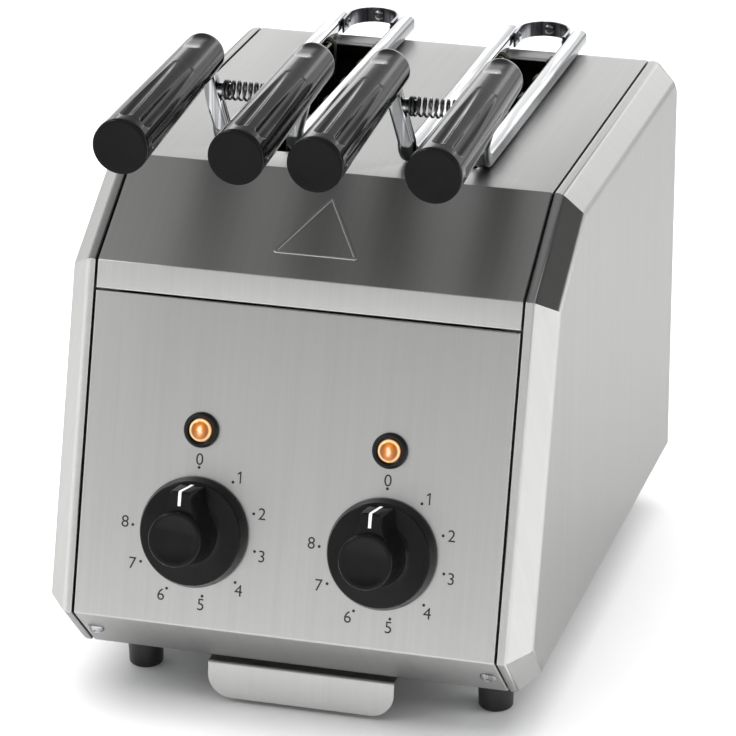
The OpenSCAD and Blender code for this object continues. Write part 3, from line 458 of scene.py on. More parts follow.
# Each finish: its maker, its name, its colour as a hex value or a property, and its settings
FINISHES = {
    "cover": (brushed_steel, "stainless_brushed_lengthwise", "steel_colour", 0, 0.29, 0.39),
    # The tray pan's dark grey is painted shade for the dark gap under the casing.
    "tray": (brushed_steel, "stainless_tray_stained", "#5c5954", 0, 0.36, 0.5),
    # The panel colour is the steel colour made slightly darker: painted shade for the control panel and the
    # tray flap.
    "panel": (brushed_steel, "stainless_brushed_upright", "panel_colour", 0, 0.27, 0.34),
    "cap": (brushed_steel, "stainless_brushed_side", "steel_colour", 1, 0.2, 0.3, 0.54),
    # Near black: heat tint of the steel, deepened into painted shade inside the slots.
    "heat_tint_and_painted_shade": (brushed_steel, "stainless_heat_darkened", "#211f1c", 2, 0.4, 0.55),
    "zinc": (zinc_steel, "galvanised_sheet", "#b9bcbd", 0.35, 0.55),
    # The liners are a near-black grey-brown.
    "liner": (zinc_steel, "aluminised_sheet_heat_dulled", "#2c2a27", 0.5, 0.7),
    "chrome": (chrome_plate, "chrome_plated_bar", "#b9bbbd", 0.05, 0.13),
    "wire": (chrome_plate, "chrome_plated_wire_heat_tinted", "#6f6b64", 0.2, 0.36, 0.5),
    "spring": (chrome_plate, "spring_steel_oil_hardened", "#8c8d91", 0.22, 0.36),
    "bakelite": (moulded_black, "bakelite_moulded_polished", "black_colour", 0.07, 0.15, 5.0, 0.00004, 0.24),
    "plug": (moulded_black, "bakelite_moulded_matt", "#0d0d0e", 0.5, 0.62, 0.7, 0.00008, 0.09),
    "knob": (moulded_black, "abs_moulded_gloss", "#0c0c0d", 0.14, 0.24, 2.0, 0.00003, 0.14),
    "plastic": (moulded_black, "polyamide_moulded_satin", "#0c0c0d", 0.28, 0.4, 0.9, 0.00005, 0.2),
    "rubber": (vulcanised_rubber, "rubber_moulded", "#0b0b0b"),
    "amber": (lamp_amber, "polycarbonate_amber_lit", "amber_colour", 0.13),
    "ink": (printed_ink, "screen_print_black", "#161616"),
    "white": (printed_ink, "screen_print_white", "#f2f2ee"),
    "quartz": (fired_ceramic, "quartz_milky_drawn", "#e9e7e0"),
    "ceramic": (fired_ceramic, "steatite_fired", "#ded5c2"),
    "paper": (studio_paper, "paper_matt_white", "floor_colour"),
}
MATERIALS = {}


def material(key):
    """A finish by its key, made on first use."""
    if key not in MATERIALS:
        maker, name, colour, *settings = FINISHES[key]
        if colour[0] != "#":
            parts = getattr(bpy.context.scene.toaster_finish, colour)
            colour = "#%02x%02x%02x" % tuple(int(round(255 * v)) for v in parts)
        MATERIALS[key] = maker(name, colour, *settings)
    return MATERIALS[key]


# Mesh helpers


def link(name, mesh, key):
    obj = bpy.data.objects.new(name, mesh)
    bpy.context.scene.collection.objects.link(obj)
    mesh.materials.clear()
    mesh.materials.append(material(key))
    return obj


def smooth(mesh, angle):
    mesh.polygons.foreach_set("use_smooth", [True] * len(mesh.polygons))
    mesh.set_sharp_from_angle(angle=math.radians(angle))


def from_bmesh(name, bm, key, matrix=None, angle=35.0, merge=MERGE):
    """An object from a bmesh in millimetres, smooth with sharp edges by angle; merge also mends normals."""
    if merge:
        bmesh.ops.remove_doubles(bm, verts=bm.verts, dist=merge)
        bmesh.ops.recalc_face_normals(bm, faces=bm.faces)
    if matrix is not None:
        bmesh.ops.transform(bm, matrix=matrix, verts=bm.verts)
    bmesh.ops.scale(bm, vec=(MM, MM, MM), verts=bm.verts)
    mesh = bpy.data.meshes.new(name)
    bm.to_mesh(mesh)
    bm.free()
    smooth(mesh, angle)
    return link(name, mesh, key)


def bake(obj):
    """Turns an object's modifiers into its plain mesh."""
    graph = bpy.context.evaluated_depsgraph_get()
    made = obj.evaluated_get(graph)
    mesh = bpy.data.meshes.new_from_object(made, preserve_all_data_layers=True, depsgraph=graph)
    old = obj.data
    obj.modifiers.clear()
    obj.data = mesh
    mesh.name = obj.name
    bpy.data.meshes.remove(old)


def settle(obj, body, slot, *nodes):
    """Puts a finished piece on its body, in the place of its CAD nodes."""
    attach(obj, body)
    if nodes:
        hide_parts(*nodes)


def loft(bm, rings, loop=False, caps=False, closed=True):
    """Faces between rings of vertices; loop joins the last ring to the first, caps close the ends."""
    n = len(rings[0])
    for a, b in zip(rings, rings[1:] + rings[:1] if loop else rings[1:]):
        for k in range(n if closed else n - 1):
            bm.faces.new((a[k], a[(k + 1) % n], b[(k + 1) % n], b[k]))
    if caps:
        bm.faces.new(list(reversed(rings[0])))
        bm.faces.new(rings[-1])


def lathe(bm, profile, steps=64, matrix=None):
    """Turns a profile of (radius, height) round Z; points on the axis are merged later."""
    lines = []
    for k in range(steps):
        a = 2 * math.pi * k / steps
        line = [Vector((r * math.cos(a), r * math.sin(a), z)) for r, z in profile]
        lines.append([bm.verts.new(matrix @ v if matrix else v) for v in line])
    for k, line in enumerate(lines):
        ahead = lines[(k + 1) % steps]
        for i in range(len(profile) - 1):
            if max(profile[i][0], profile[i + 1][0]) >= 1e-6:
                bm.faces.new((line[i], ahead[i], ahead[i + 1], line[i + 1]))


def turned(name, profile, steps, key, matrix=None, angle=35.0):
    """A turned piece from its profile."""
    bm = bmesh.new()
    lathe(bm, profile, steps)
    return from_bmesh(name, bm, key, matrix, angle)


# Sheet metal


def turned_end(edge, t, sense):
    """Rows of a sheet that turns in on an edge of the profile: sense 1 begins there, -1 ends there."""
    rows = [lambda d: on_edge(edge, t, max(d, TURN_DEPTH))]
    for a in reversed(quarter(4)):
        at = t + sense * TURN_R * (1 - math.sin(a))
        down = TURN_R * (1 - math.cos(a))
        rows.append(lambda d, at=at, down=down: on_edge(edge, at, max(d, down)))
    return rows if sense > 0 else rows[::-1]


def round_bend(i, r, steps=6):
    """Rows round corner i of the profile, bent with the outer radius r."""
    centre = inset(i, r)
    a = -edge_in(i - 1)
    b = -edge_in(i)
    rows = []
    for k in range(steps + 1):
        n = a.lerp(b, k / steps).normalized()
        rows.append(lambda d, n=n: centre + (r - d) * n if d < r else inset(i, d))
    return rows


def sheet_columns(s):
    """Columns of a folded sheet as (x, depth), with both side edges turned in."""
    r = s.edge_radius / MM
    flat = COVER_HALF - r
    side = [(COVER_HALF, HEM)]
    side += [(flat + r * math.sin(a), r * (1 - math.cos(a))) for a in reversed(quarter(4))]
    return [(-x, d) for x, d in side] + [(x, 0.0) for x in SHEET_LINES] + side[::-1]


def sheet_skin(bm, rows, columns, gap=(-1, 0, 0)):
    """The outer skin of a folded sheet; gap is (row, first column, last column) of a flat left open."""
    grid = []
    for row in rows:
        places = [(x, row(d)) for x, d in columns]
        grid.append([bm.verts.new((x, p.x, p.y)) for x, p in places])
    row, first, last = gap
    for i, (a, b) in enumerate(zip(grid, grid[1:])):
        for j in range(len(columns) - 1):
            if i != row or not first <= j < last:
                bm.faces.new((a[j], a[j + 1], b[j + 1], b[j]))
    return grid


def close_sheet(name, bm, key, facing, thickness=SHEET, angle=35.0):
    """Turns an open skin so that its furthest face looks along facing, and gives it its thickness."""
    facing = Vector(facing)
    bmesh.ops.remove_doubles(bm, verts=bm.verts, dist=MERGE)
    bmesh.ops.recalc_face_normals(bm, faces=bm.faces)
    best = max(bm.faces, key=lambda f: f.calc_center_median().dot(facing) + f.calc_area() * 1e-6)
    if best.normal.dot(facing) < 0:
        bmesh.ops.reverse_faces(bm, faces=bm.faces)
    obj = from_bmesh(name, bm, key, merge=0)
    wall = obj.modifiers.new("sheet_thickness", "SOLIDIFY")
    wall.thickness = thickness * MM
    wall.offset = -1.0
    wall.use_even_offset = False
    bake(obj)
    smooth(obj.data, angle)
    return obj


def slot_ring(bm, tong, grow, down):
    """A ring of vertices round a slot, grown outwards and set down from the top."""
    length = SLOT_Y1 - SLOT_Y0 + 2 * grow
    outline = rounded_outline(SLOT_W + 2 * grow, length, SLOT_R + grow, 8, SLOT_Y0 - grow)
    return [bm.verts.new((x + tong * SLOT_X, y, TOP_Z - down)) for x, y in outline]


def make_collar(tong):
    """The turned-down wall of a slot, darkened by heat tint and by painted shade inside the slot."""
    bm = bmesh.new()
    top = SHEET + 0.4
    low = SHEET + COLLAR_H
    levels = [(0.0, top), (0.0, low - 0.3), (0.15, low - 0.05), (0.5, low), (0.85, low - 0.05)]
    levels += [(SHEET, low - 0.3), (SHEET, top)]
    loft(bm, [slot_ring(bm, tong, grow, down) for grow, down in levels], loop=True)
    obj = from_bmesh(SIDES[tong] + "_slot_collar", bm, "heat_tint_and_painted_shade")
    settle(obj, "body", "stainless_steel")


def make_top_cover(s):
    """The slope, the top with its two slots and the upper rear corners, folded from one sheet."""
    rows = turned_end(E_FRONT, edge_len(E_FRONT) - SEAM_DROP + LINE_GAP / 2, 1)
    rows += round_bend(2, s.bend_radius / MM) + round_bend(3, s.bend_radius / MM)
    flat = len(rows) - 1
    for i in REAR_BENDS:
        rows += round_bend(i, s.rear_round / MM, 10)
    rows += turned_end(E_REAR, REAR_TURN, -1)
    columns = sheet_columns(s)
    first = (len(columns) - len(SHEET_LINES)) // 2 - 1
    last = len(columns) - 1 - first
    bm = bmesh.new()
    grid = sheet_skin(bm, rows, columns, (flat, first, last))
    edges = []
    for line in (grid[flat], grid[flat + 1]):
        edges += [bm.edges.get((line[j], line[j + 1])) for j in range(first, last)]
    edges += [bm.edges.get((grid[flat][j], grid[flat + 1][j])) for j in (first, last)]
    lip = s.slot_lip / MM
    levels = [(lip * (1 - math.sin(a)), lip * (1 - math.cos(a))) for a in quarter(5)]
    levels.append((0.0, SHEET + 0.6))
    lips = []
    for tong in SIDES:
        lips.append([slot_ring(bm, tong, grow, down) for grow, down in levels])
        ring = lips[-1][0]
        edges += [bm.edges.new((ring[k], ring[(k + 1) % len(ring)])) for k in range(len(ring))]
    bmesh.ops.triangle_fill(bm, use_beauty=True, use_dissolve=False, edges=edges)
    for rings in lips:
        loft(bm, rings)
    obj = close_sheet("top_cover_sheet", bm, "cover", (0.0, 0.0, 1.0))
    settle(obj, "body", "stainless_steel", "top_cover")


def make_triangle_bead(s):
    """A pressed triangular bead on the slope, half round in section."""
    side = 40.0
    width = 1.8
    turn = 0.5
    rise = s.bead_rise / MM
    across = side / math.sqrt(3)
    radius = across - width * 0.5
    reach = turn / math.tan(math.radians(30))
    back = turn / math.sin(math.radians(30))
    shape = [Vector((radius * math.sin(a), radius * math.cos(a) - across / 4))
             for a in (0.0, -2 * math.pi / 3, 2 * math.pi / 3)]
    bm = bmesh.new()
    rings = []
    for k, p in enumerate(shape):
        a = (shape[k - 1] - p).normalized()
        b = (shape[(k + 1) % 3] - p).normalized()
        centre = p + (a + b).normalized() * back
        start_n = (p + a * reach - centre).normalized()
        end_n = (p + b * reach - centre).normalized()
        for j in range(9):
            n = start_n.lerp(end_n, j / 8).normalized()
            ring = []
            for t in (math.pi * q / 8 for q in range(9)):
                q = centre + turn * n + n * (width / 2) * math.cos(t)
                ring.append(bm.verts.new((q.x, q.y, rise * math.sin(t) - 0.08)))
            rings.append(ring)
    loft(bm, rings, loop=True)
    obj = from_bmesh("slope_triangle_bead", bm, "cover", frame_on(E_SLOPE, 0.0, edge_len(E_SLOPE) / 2))
    settle(obj, "body", "stainless_steel")


def make_panel(name, rows, facing, s):
    """The control panel or the rear panel, with its side edges turned in."""
    bm = bmesh.new()
    sheet_skin(bm, rows, sheet_columns(s))
    obj = close_sheet(name + "_sheet", bm, "panel", facing)
    settle(obj, "body", "stainless_steel", name)


def make_end_cap(side, s):
    """A pressed pan: a flange under the cover, a rolled edge, a narrow lip, a chamfer and a flat side."""
    name = SIDES[side] + "_end_cap"
    x0 = COVER_HALF + SEAM_GAP
    x1 = x0 + CAP_LIP
    x2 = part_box("right_end_cap")[1].x / MM
    edge = 0.6
    deep = HEM + 4.0
    bend = s.cap_bend / MM
    reach = bend * math.tan(math.radians(22.5))
    turn = [math.radians(45.0 * k / 8) for k in range(9)]
    columns = [(x0 - FLANGE_W, deep), (x0, deep)]
    columns += [(x0 + edge - edge * math.cos(a), edge - edge * math.sin(a)) for a in quarter(5)]
    columns += [(x1 - reach + bend * math.sin(a), bend - bend * math.cos(a)) for a in turn]
    columns += [(x2 - bend + bend * math.sin(a), CAP_CHAMFER + reach - bend * math.cos(a))
                for a in (t + math.pi / 4 for t in turn)]
    rows = []
    for i in range(len(CORNERS)):
        rows += round_bend(i, s.rear_round / MM, 10) if i in REAR_BENDS else round_bend(i, edge, 4)
    bm = bmesh.new()
    sheet_skin(bm, rows + rows[:1], [(side * x, d) for x, d in columns])
    bmesh.ops.remove_doubles(bm, verts=bm.verts, dist=MERGE)
    rim = [e for e in bm.edges if e.is_boundary and min(abs(v.co.x) for v in e.verts) > x2 - 0.01]
    bmesh.ops.holes_fill(bm, edges=rim, sides=0)
    obj = close_sheet(name + "_pan", bm, "cap", (side, 0.0, 0.0), angle=15.0)
    flats = obj.modifiers.new("flat_faces_stay_flat", "WEIGHTED_NORMAL")
    flats.keep_sharp = True
    bake(obj)
    settle(obj, "body", "stainless_steel", name)


# Repeats by Geometry Nodes


def group_tree(name, sockets):
    """A Geometry Nodes tree with named inputs; returns it with the sockets that give them."""
    tree = bpy.data.node_groups.new(name, "GeometryNodeTree")
    tree.interface.new_socket("Geometry", in_out="INPUT", socket_type="NodeSocketGeometry")
    for label, kind, value in sockets:
        made = tree.interface.new_socket(label, in_out="INPUT", socket_type=kind)
        if value is not None:
            made.default_value = value
    tree.interface.new_socket("Geometry", in_out="OUTPUT", socket_type="NodeSocketGeometry")
    return tree, add(tree, "NodeGroupInput", out=None).outputs


def end_tree(tree, shape, finish_socket):
    """Ends a tree with real geometry in one material."""
    real = add(tree, "GeometryNodeRealizeInstances", {0: shape})
    done = add(tree, "GeometryNodeSetMaterial", {0: real, "Material": finish_socket})
    add(tree, "NodeGroupOutput", {"Geometry": done}, out=None)
    return tree


def wire_tree():
    """Drawn wire: every path in the mesh becomes a tube with its corners rounded."""
    tree, given = group_tree("drawn_wire", [
        ("Wire diameter", "NodeSocketFloat", 0.002),
        ("Bend radius", "NodeSocketFloat", 0.002),
        ("Sides", "NodeSocketInt", 12),
        ("Finish", "NodeSocketMaterial", None),
    ])
    path = add(tree, "GeometryNodeMeshToCurve", {"Mesh": given["Geometry"]})
    bent = add(tree, "GeometryNodeFilletCurve", {0: path, "Radius": given["Bend radius"]}, mode="POLY")
    half = add(tree, "ShaderNodeMath", {0: given["Wire diameter"], 1: 0.5}, operation="MULTIPLY")
    ring = add(tree, "GeometryNodeCurvePrimitiveCircle", {"Resolution": given["Sides"], "Radius": half})
    tube = {"Curve": bent, "Profile Curve": ring, "Fill Caps": True}
    tube = add(tree, "GeometryNodeCurveToMesh", tube)
    return end_tree(tree, add(tree, "GeometryNodeSetShadeSmooth", {0: tube}), given["Finish"])


def stamp_tree():
    """One small shape set at every point of the mesh, all turned the same way."""
    tree, given = group_tree("set_at_points", [
        ("Shape", "NodeSocketObject", None),
        ("Turn", "NodeSocketVector", (0.0, 0.0, 0.0)),
        ("Finish", "NodeSocketMaterial", None),
    ])
    shape = add(tree, "GeometryNodeObjectInfo", {"Object": given["Shape"]}, out="Geometry")
    points = add(tree, "GeometryNodeMeshToPoints", {"Mesh": given["Geometry"]})
    turn = add(tree, "FunctionNodeEulerToRotation", {0: given["Turn"]})
    spread = {"Points": points, "Instance": shape, "Rotation": turn}
    return end_tree(tree, add(tree, "GeometryNodeInstanceOnPoints", spread), given["Finish"])


def grown(name, verts, edges, tree, key, angle, inputs):
    """Grows a tree on points and edges in millimetres into a plain mesh."""
    mesh = bpy.data.meshes.new(name)
    mesh.from_pydata([Vector(p) * MM for p in verts], edges, [])
    obj = link(name, mesh, key)
    grow = obj.modifiers.new(tree.name, "NODES")
    grow.node_group = tree
    sockets = {item.name: item.identifier for item in tree.interface.items_tree if item.in_out == "INPUT"}
    for label, value in inputs.items():
        grow[sockets[label]] = value
    grow[sockets["Finish"]] = material(key)
    bake(obj)
    smooth(obj.data, angle)
    return obj


def wires(name, paths, diameter, bend, sides, key):
    """One mesh of tubes along paths of points in millimetres."""
    verts = []
    edges = []
    for path in paths:
        first = len(verts)
        verts += path
        edges += [(k, k + 1) for k in range(first, len(verts) - 1)]
    tree = bpy.data.node_groups.get("drawn_wire") or wire_tree()
    sizes = {"Wire diameter": diameter * MM, "Bend radius": bend * MM, "Sides": sides}
    return grown(name, verts, edges, tree, key, 50.0, sizes)


def stamped(name, template, points, turn, key):
    """Sets copies of a template at points in millimetres; the template is removed afterwards."""
    tree = bpy.data.node_groups.get("set_at_points") or stamp_tree()
    obj = grown(name, points, [], tree, key, 35.0, {"Shape": template, "Turn": turn})
    mesh = template.data
    bpy.data.objects.remove(template)
    bpy.data.meshes.remove(mesh)
    return obj


def screw_template(head_d, head_h):
    """A domed screw head with a cross recess pressed into it."""
    bm = bmesh.new()
    r = head_d / 2
    lathe(bm, [(r * 0.97, -0.4), (r, 0.0)] + dome(r, 0.0, head_h, 8), 48)
    bmesh.ops.remove_doubles(bm, verts=bm.verts, dist=MERGE)
    arm = head_d * 0.27
    half = head_d * 0.065
    for v in bm.verts:
        x = abs(v.co.x)
        y = abs(v.co.y)
        if v.co.z >= head_h * 0.3 and min(max(x - half, y - arm), max(y - half, x - arm)) < 0:
            v.co.z -= 0.7
    return from_bmesh("screw_template", bm, "chrome")


# Handles


def handle_radius(z):
    return (HANDLE_D2 + (HANDLE_D1 - HANDLE_D2) * (z + HANDLE_BACK) / (HANDLE_L + HANDLE_BACK)) / 2


def flute_edge(z, s):
    """Cutter's distance, radius and half angle of a flute at z: round in front, running out to a point."""
    r = handle_radius(z)
    cut = s.flute_radius / MM
    depth = s.flute_depth / MM
    past = z - FLUTE_FRONT
    if past >= cut:
        return NO_FLUTE
    if past > 0:
        depth -= cut
        cut = math.sqrt(cut * cut - past * past)
        depth += cut
    else:
        depth *= 1 + past / FLUTE_REACH
    if depth <= 0.002:
        return NO_FLUTE
    c = r + cut - depth
    cosine = (r * r + c * c - cut * cut) / (2 * r * c)
    return c, cut, math.acos(max(-1.0, min(1.0, cosine)))


def handle_stations():
    """Distances along a handle with the share of its radius there: dome, tail, flutes and front."""
    rear = DOME - HANDLE_BACK
    tail = FLUTE_FRONT - FLUTE_REACH
    out = [(rear - DOME * math.cos(a), math.sin(a)) for a in quarter(10)]
    out += [(rear + 0.7 * k, 1.0) for k in range(1, int((tail - rear) / 0.7))]
    out += [(tail + FLUTE_REACH * k / 60, 1.0) for k in range(61)]
    out += [(FLUTE_FRONT + FLUTE_END * math.sin(a), 1.0) for a in quarter(18)[1:]]
    return out + [(HANDLE_L - 4.0, 1.0), (HANDLE_L - 1.6, 1.0)]


def handle_ring(bm, z, share, s):
    """One ring of a handle, with points on the edges of every flute and the thumb flat cut off."""
    r = handle_radius(max(z, DOME - HANDLE_BACK)) * share
    away, cut, half = flute_edge(z, s) if share == 1.0 else NO_FLUTE
    rim = min(0.5 / r, half) if half else 0.0
    far = math.asin(min(1.0, cut / away))
    land = 2 * math.pi / s.flute_count - 2 * (half + rim)
    rises = [half + rim * q / 2 for q in range(-2, 3)]
    offs = [-q for q in reversed(rises)] + [(half - rim) * q / 4 for q in range(-3, 4)] + rises
    offs += [half + rim + land * q / 7 for q in range(1, 7)]
    along = (z + HANDLE_BACK - DOME - THUMB_AT) / THUMB_HALF
    ring = []
    for k in range(s.flute_count):
        for off in offs:
            a = 2 * math.pi * k / s.flute_count + off
            rr = r
            if abs(off) < far:
                floor = away * math.cos(off) - math.sqrt(max(0.0, cut**2 - (away * math.sin(off)) ** 2))
                near = max(0.0, 1.0 - abs(floor - r) / s.flute_rim * MM)
                rr = min(r, floor) - near * near * s.flute_rim / MM / 4
            up = math.sin(a)
            if abs(along) < 1.0 and up > 0.5:
                rr = min(rr, (r - s.pad_depth / MM * (1 - along**4)) / up)
            ring.append(bm.verts.new((rr * math.cos(a), rr * math.sin(a), z)))
    return ring


def make_handle(tong, side, s):
    """A fluted handle with its rounded front edge, and the disc that closes it."""
    name, body = arm_names(tong, side)
    m = handle_frame(tong, side)
    bm = bmesh.new()
    rings = [handle_ring(bm, z, share, s) for z, share in handle_stations()]
    turns = [math.atan2(v.co.y, v.co.x) for v in rings[-1]]
    for t in quarter(5)[1:]:
        r = HANDLE_D1 / 2 - HANDLE_EDGE * (1 - math.cos(t))
        z = HANDLE_L - HANDLE_EDGE + HANDLE_EDGE * math.sin(t)
        rings.append([bm.verts.new((r * math.cos(a), r * math.sin(a), z)) for a in turns])
    loft(bm, rings)
    bm.faces.new(rings[-1])
    obj = from_bmesh(name + "_bakelite_handle", bm, "bakelite", m, angle=32.0, merge=2 * MERGE)
    settle(obj, body, "bakelite", name + "_handle")
    r = HANDLE_D1 / 2 - 0.2
    profile = [(0.0, -0.2), (r - 0.5, -0.2), (r - 0.5, 0.25)]
    profile += [(r - 0.6 + 0.6 * math.cos(a), 1.2 + 0.6 * math.sin(a)) for a in quarter(5)]
    profile += [(r - 2.0, 1.76), (r - 2.6, 1.66), (0.0, 1.66)]
    plug = turned(name + "_end_disc", profile, 72, "plug", m @ Matrix.Translation((0.0, 0.0, HANDLE_L)))
    settle(plug, body, "black_plastic", name + "_plug")


# Arms, strips, springs and cages


def make_arm(tong, side, s):
    """A hollow square bar bent up at the front, with the coil's stud and the strip's rivet."""
    name, body = arm_names(tong, side)
    x = tong * SLOT_X + side * ROD_OFF
    corner_r = s.bar_round / MM
    outer = rounded_outline(BAR, BAR, corner_r, 4, -BAR / 2)
    slim = rounded_outline(BAR - 0.5, BAR - 0.5, corner_r, 4, 0.25 - BAR / 2)
    bore = BAR - 2 * BAR_WALL
    inner = rounded_outline(bore, bore, 0.5, 4, -bore / 2)
    stations = [(inner, x, ROD_Y1 - BORE_L, ROD_Z, 0.0), (inner, x, ROD_Y1, ROD_Z, 0.0)]
    stations += [(slim, x, ROD_Y1, ROD_Z, 0.0), (outer, x, ROD_Y1 - 0.25, ROD_Z, 0.0)]
    for t in quarter(12):
        y = ROD_Y0 + BEND_R * (1 - math.sin(t))
        stations.append((outer, x, y, ROD_Z + BEND_R * (1 - math.cos(t)), t))
    for z in (ROD_Z + BEND_R + 1.0, ROD_Z + 20.0, ROD_Z + 32.0, AXIS_Z + BAR / 2):
        stations.append((outer, tong * SLOT_X + side * riser_x(z), ROD_Y0, z, math.pi / 2))
    bm = bmesh.new()
    rings = []
    for section, cx, y, z, t in stations:
        rings.append([bm.verts.new((cx + a, y + b * math.sin(t), z + b * math.cos(t))) for a, b in section])
    loft(bm, rings, caps=True)
    stud_r = (COIL_D - WIRE_D) / 2 - SLIDE_GAP
    turn = Matrix.Rotation(-math.pi / 2 * side, 4, "Y")
    seat = Matrix.Translation((tong * SLOT_X + side * riser_x(COIL_Z), ROD_Y0, COIL_Z)) @ turn
    lathe(bm, [(stud_r, 1.0), (stud_r, 8.4), (stud_r - 0.6, 9.0), (0.0, 9.0)], 24, seat)
    rivet = Matrix.Translation((tong * SLOT_X + side * ROD_IN, RIVET_Y, ROD_Z)) @ turn
    neck = 3 * SLIDE_GAP + STRIP_T
    head = [(RIVET_R, -0.4), (RIVET_R, neck), (RIVET_HEAD, neck), (RIVET_HEAD, neck + 0.4)]
    lathe(bm, head + dome(RIVET_HEAD, neck + 0.4, 0.6, 5), 24, rivet)
    obj = from_bmesh(name + "_chrome_bar", bm, "chrome", angle=40.0)
    settle(obj, body, "chrome", name + "_arm")


def make_cage(tong, side):
    """The wire cage of an arm: uprights bent over to the bar, rails across them and hooks under the bread."""
    name, body = arm_names(tong, side)
    x = tong * SLOT_X + side * CAGE_OFF
    reach = tong * SLOT_X + side * ROD_IN
    y0 = SLOT_Y0 + CAGE_FRONT
    y1 = SLOT_Y1 - CAGE_REAR
    step = (y1 - y0) / (CAGE_N - 1)
    low = TOP_Z - CAGE_DEPTH
    high = TOP_Z - CAGE_DROP
    uprights = [[(x, y, low - CAGE_D / 2), (x, y, ROD_Z), (reach, y, ROD_Z)]
                for y in (y0 + k * step for k in range(CAGE_N))]
    obj = wires(name + "_cage_uprights", uprights, CAGE_D, 1.95, 14, "wire")
    settle(obj, body, "chrome", name + "_cage")
    rails = [[(x, y0, z), (x, y1, z)] for z in (high, (high + low) / 2, low)]
    rails += [[(x, y, low), (x - side * HOOK_L, y, low)]
              for y in (y0 + (k + 0.5) * step for k in range(0 if side == LEFT else 1, CAGE_N - 1, 2))]
    obj = wires(name + "_cage_rails", rails, CAGE_D - 0.4, 1.0, 12, "wire")
    settle(obj, body, "chrome")


def make_strip(tong):
    """A bowed strip of spring steel with its ends along the rods, and the rivet in the middle of the bow."""
    name = SIDES[tong] + "_tong"
    mid = STRIP_R - STRIP_T / 2
    tab = [(mid, -TAB_L / 2), (mid, -TAB_L)]
    spine = [(-x, y) for x, y in reversed(tab)] + arc(0.0, 0.0, mid, 180, 0, 40) + tab
    edge = 0.25
    flat = STRIP_T / 2
    half = STRIP_H / 2
    right = [(flat - edge, -half), (flat, edge - half), (flat, half - edge), (flat - edge, half)]
    section = right + [(-u, v) for u, v in reversed(right)]
    bm = bmesh.new()
    rings = []
    for p, out in with_normals(spine):
        places = [(p + out * u, v) for u, v in section]
        rings.append([bm.verts.new((tong * SLOT_X + q.x, STRIP_Y + q.y, ROD_Z + v)) for q, v in places])
    loft(bm, rings, caps=True)
    obj = from_bmesh(name + "_bow_strip", bm, "spring", angle=40.0)
    settle(obj, name, "spring_steel", name + "_strip")
    m = Matrix.Rotation(math.pi / 2, 4, "X")
    m.translation = Vector((tong * SLOT_X, STRIP_Y + STRIP_R - STRIP_T, ROD_Z))
    head = [(0.0, -STRIP_T), (RIVET_R, -STRIP_T), (RIVET_R, 0.0), (RIVET_HEAD, 0.0), (RIVET_HEAD, 0.5)]
    obj = turned(name + "_bow_rivet", head + dome(RIVET_HEAD, 0.5, 0.7, 6), 32, "chrome", m)
    settle(obj, name, "chrome", name + "_rivet")


def make_coil(tong):
    """A wound spring whose end turns lie close together."""
    name = SIDES[tong] + "_tong"
    half = riser_x(COIL_Z - (COIL_D + WIRE_D) / 2) - BAR / 2 - SLIDE_GAP - WIRE_D / 2
    closed = 1.5
    dense = closed * WIRE_D * 1.15
    count = 28 * COIL_TURNS
    path = []
    for k in range(count + 1):
        t = COIL_TURNS * k / count
        if t < closed:
            x = -half + dense * t / closed
        elif t > COIL_TURNS - closed:
            x = half - dense * (COIL_TURNS - t) / closed
        else:
            x = -half + dense + (2 * half - 2 * dense) * (t - closed) / (COIL_TURNS - 2 * closed)
        a = 2 * math.pi * t
        path.append((tong * SLOT_X + x, ROD_Y0 + COIL_D / 2 * math.cos(a), COIL_Z + COIL_D / 2 * math.sin(a)))
    obj = wires(name + "_coil_spring", [path], WIRE_D, 0.0, 10, "spring")
    settle(obj, name, "spring_steel", name + "_spring")
    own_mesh(obj)


# Controls


def make_knob(tong, s):
    """A timer knob: a skirt, a grip, a flared pointer and the white line on it."""
    name = SIDES[tong]
    m = frame_on(E_FRONT, tong * SLOT_X, KNOB_S) @ Matrix.Translation((0.0, 0.0, KNOB_GAP))
    top = s.pointer_width / MM / 2
    bm = bmesh.new()
    rings = []
    for z, wide, spread, y0, y1 in ((5.0, top + 1.5, 5.2, 7.5, 22.6), (POINTER_H, top, 4.0, 8.6, 21.6)):
        flank = [(wide + spread * (1 - k / 9) ** 1.8, y0 + (y1 - y0) * k / 9) for k in range(10)]
        outline = flank + [(-x, y) for x, y in reversed(flank)]
        rings.append([bm.verts.new((x, y, z)) for x, y in outline])
    loft(bm, rings, caps=True)
    tips = {v for ring in rings for v in ring[9:11]}
    upper = [e for e in bm.edges if min(v.co.z for v in e.verts) > 20.0]
    ends = [e for e in bm.edges if tips.issuperset(e.verts) and e.calc_length() > 15.0]
    bmesh.ops.bevel(bm, geom=upper + ends, offset=0.7, segments=4, profile=0.5, affect="EDGES")
    profile = [(0.0, 3.9), (22.9, 3.9), (23.1, 3.6), (23.3, 0.3), (23.6, 0.0), (25.2, 0.0), (25.5, 0.3)]
    profile += [(25.5, 1.6), (24.0, 5.5)] + arc(23.1, 5.55, 0.95, 20, 86, 6) + [(15.6, 7.0)]
    profile += [(14.6, 7.3), (13.7, 8.0), (13.1, 9.2), (12.95, 10.4)]
    profile += [(12.5, 28.4)] + arc(11.5, 28.5, 1.0, 5, 88, 6) + [(10.4, 29.44), (10.0, 29.25), (0.0, 29.25)]
    lathe(bm, profile, 96)
    obj = from_bmesh(name + "_timer_knob", bm, "knob", m, angle=32.0)
    settle(obj, name + "_knob", "bakelite", name + "_knob")
    bm = bmesh.new()
    w = s.index_width / MM / 2
    h = POINTER_H
    rows = []
    for p, out in with_normals([(15.0, h), (20.9, h), (21.35, h - 0.25), (21.62, h - 0.9), (22.5, 7.4)]):
        up = p + out * 0.12
        down = p - out * 0.25
        rows.append([bm.verts.new(q) for q in ((-w, *down), (-w, *up), (w, *up), (w, *down))])
    loft(bm, rows, caps=True)
    mark = from_bmesh(name + "_knob_index_line", bm, "white", m)
    settle(mark, name + "_knob", "bakelite")


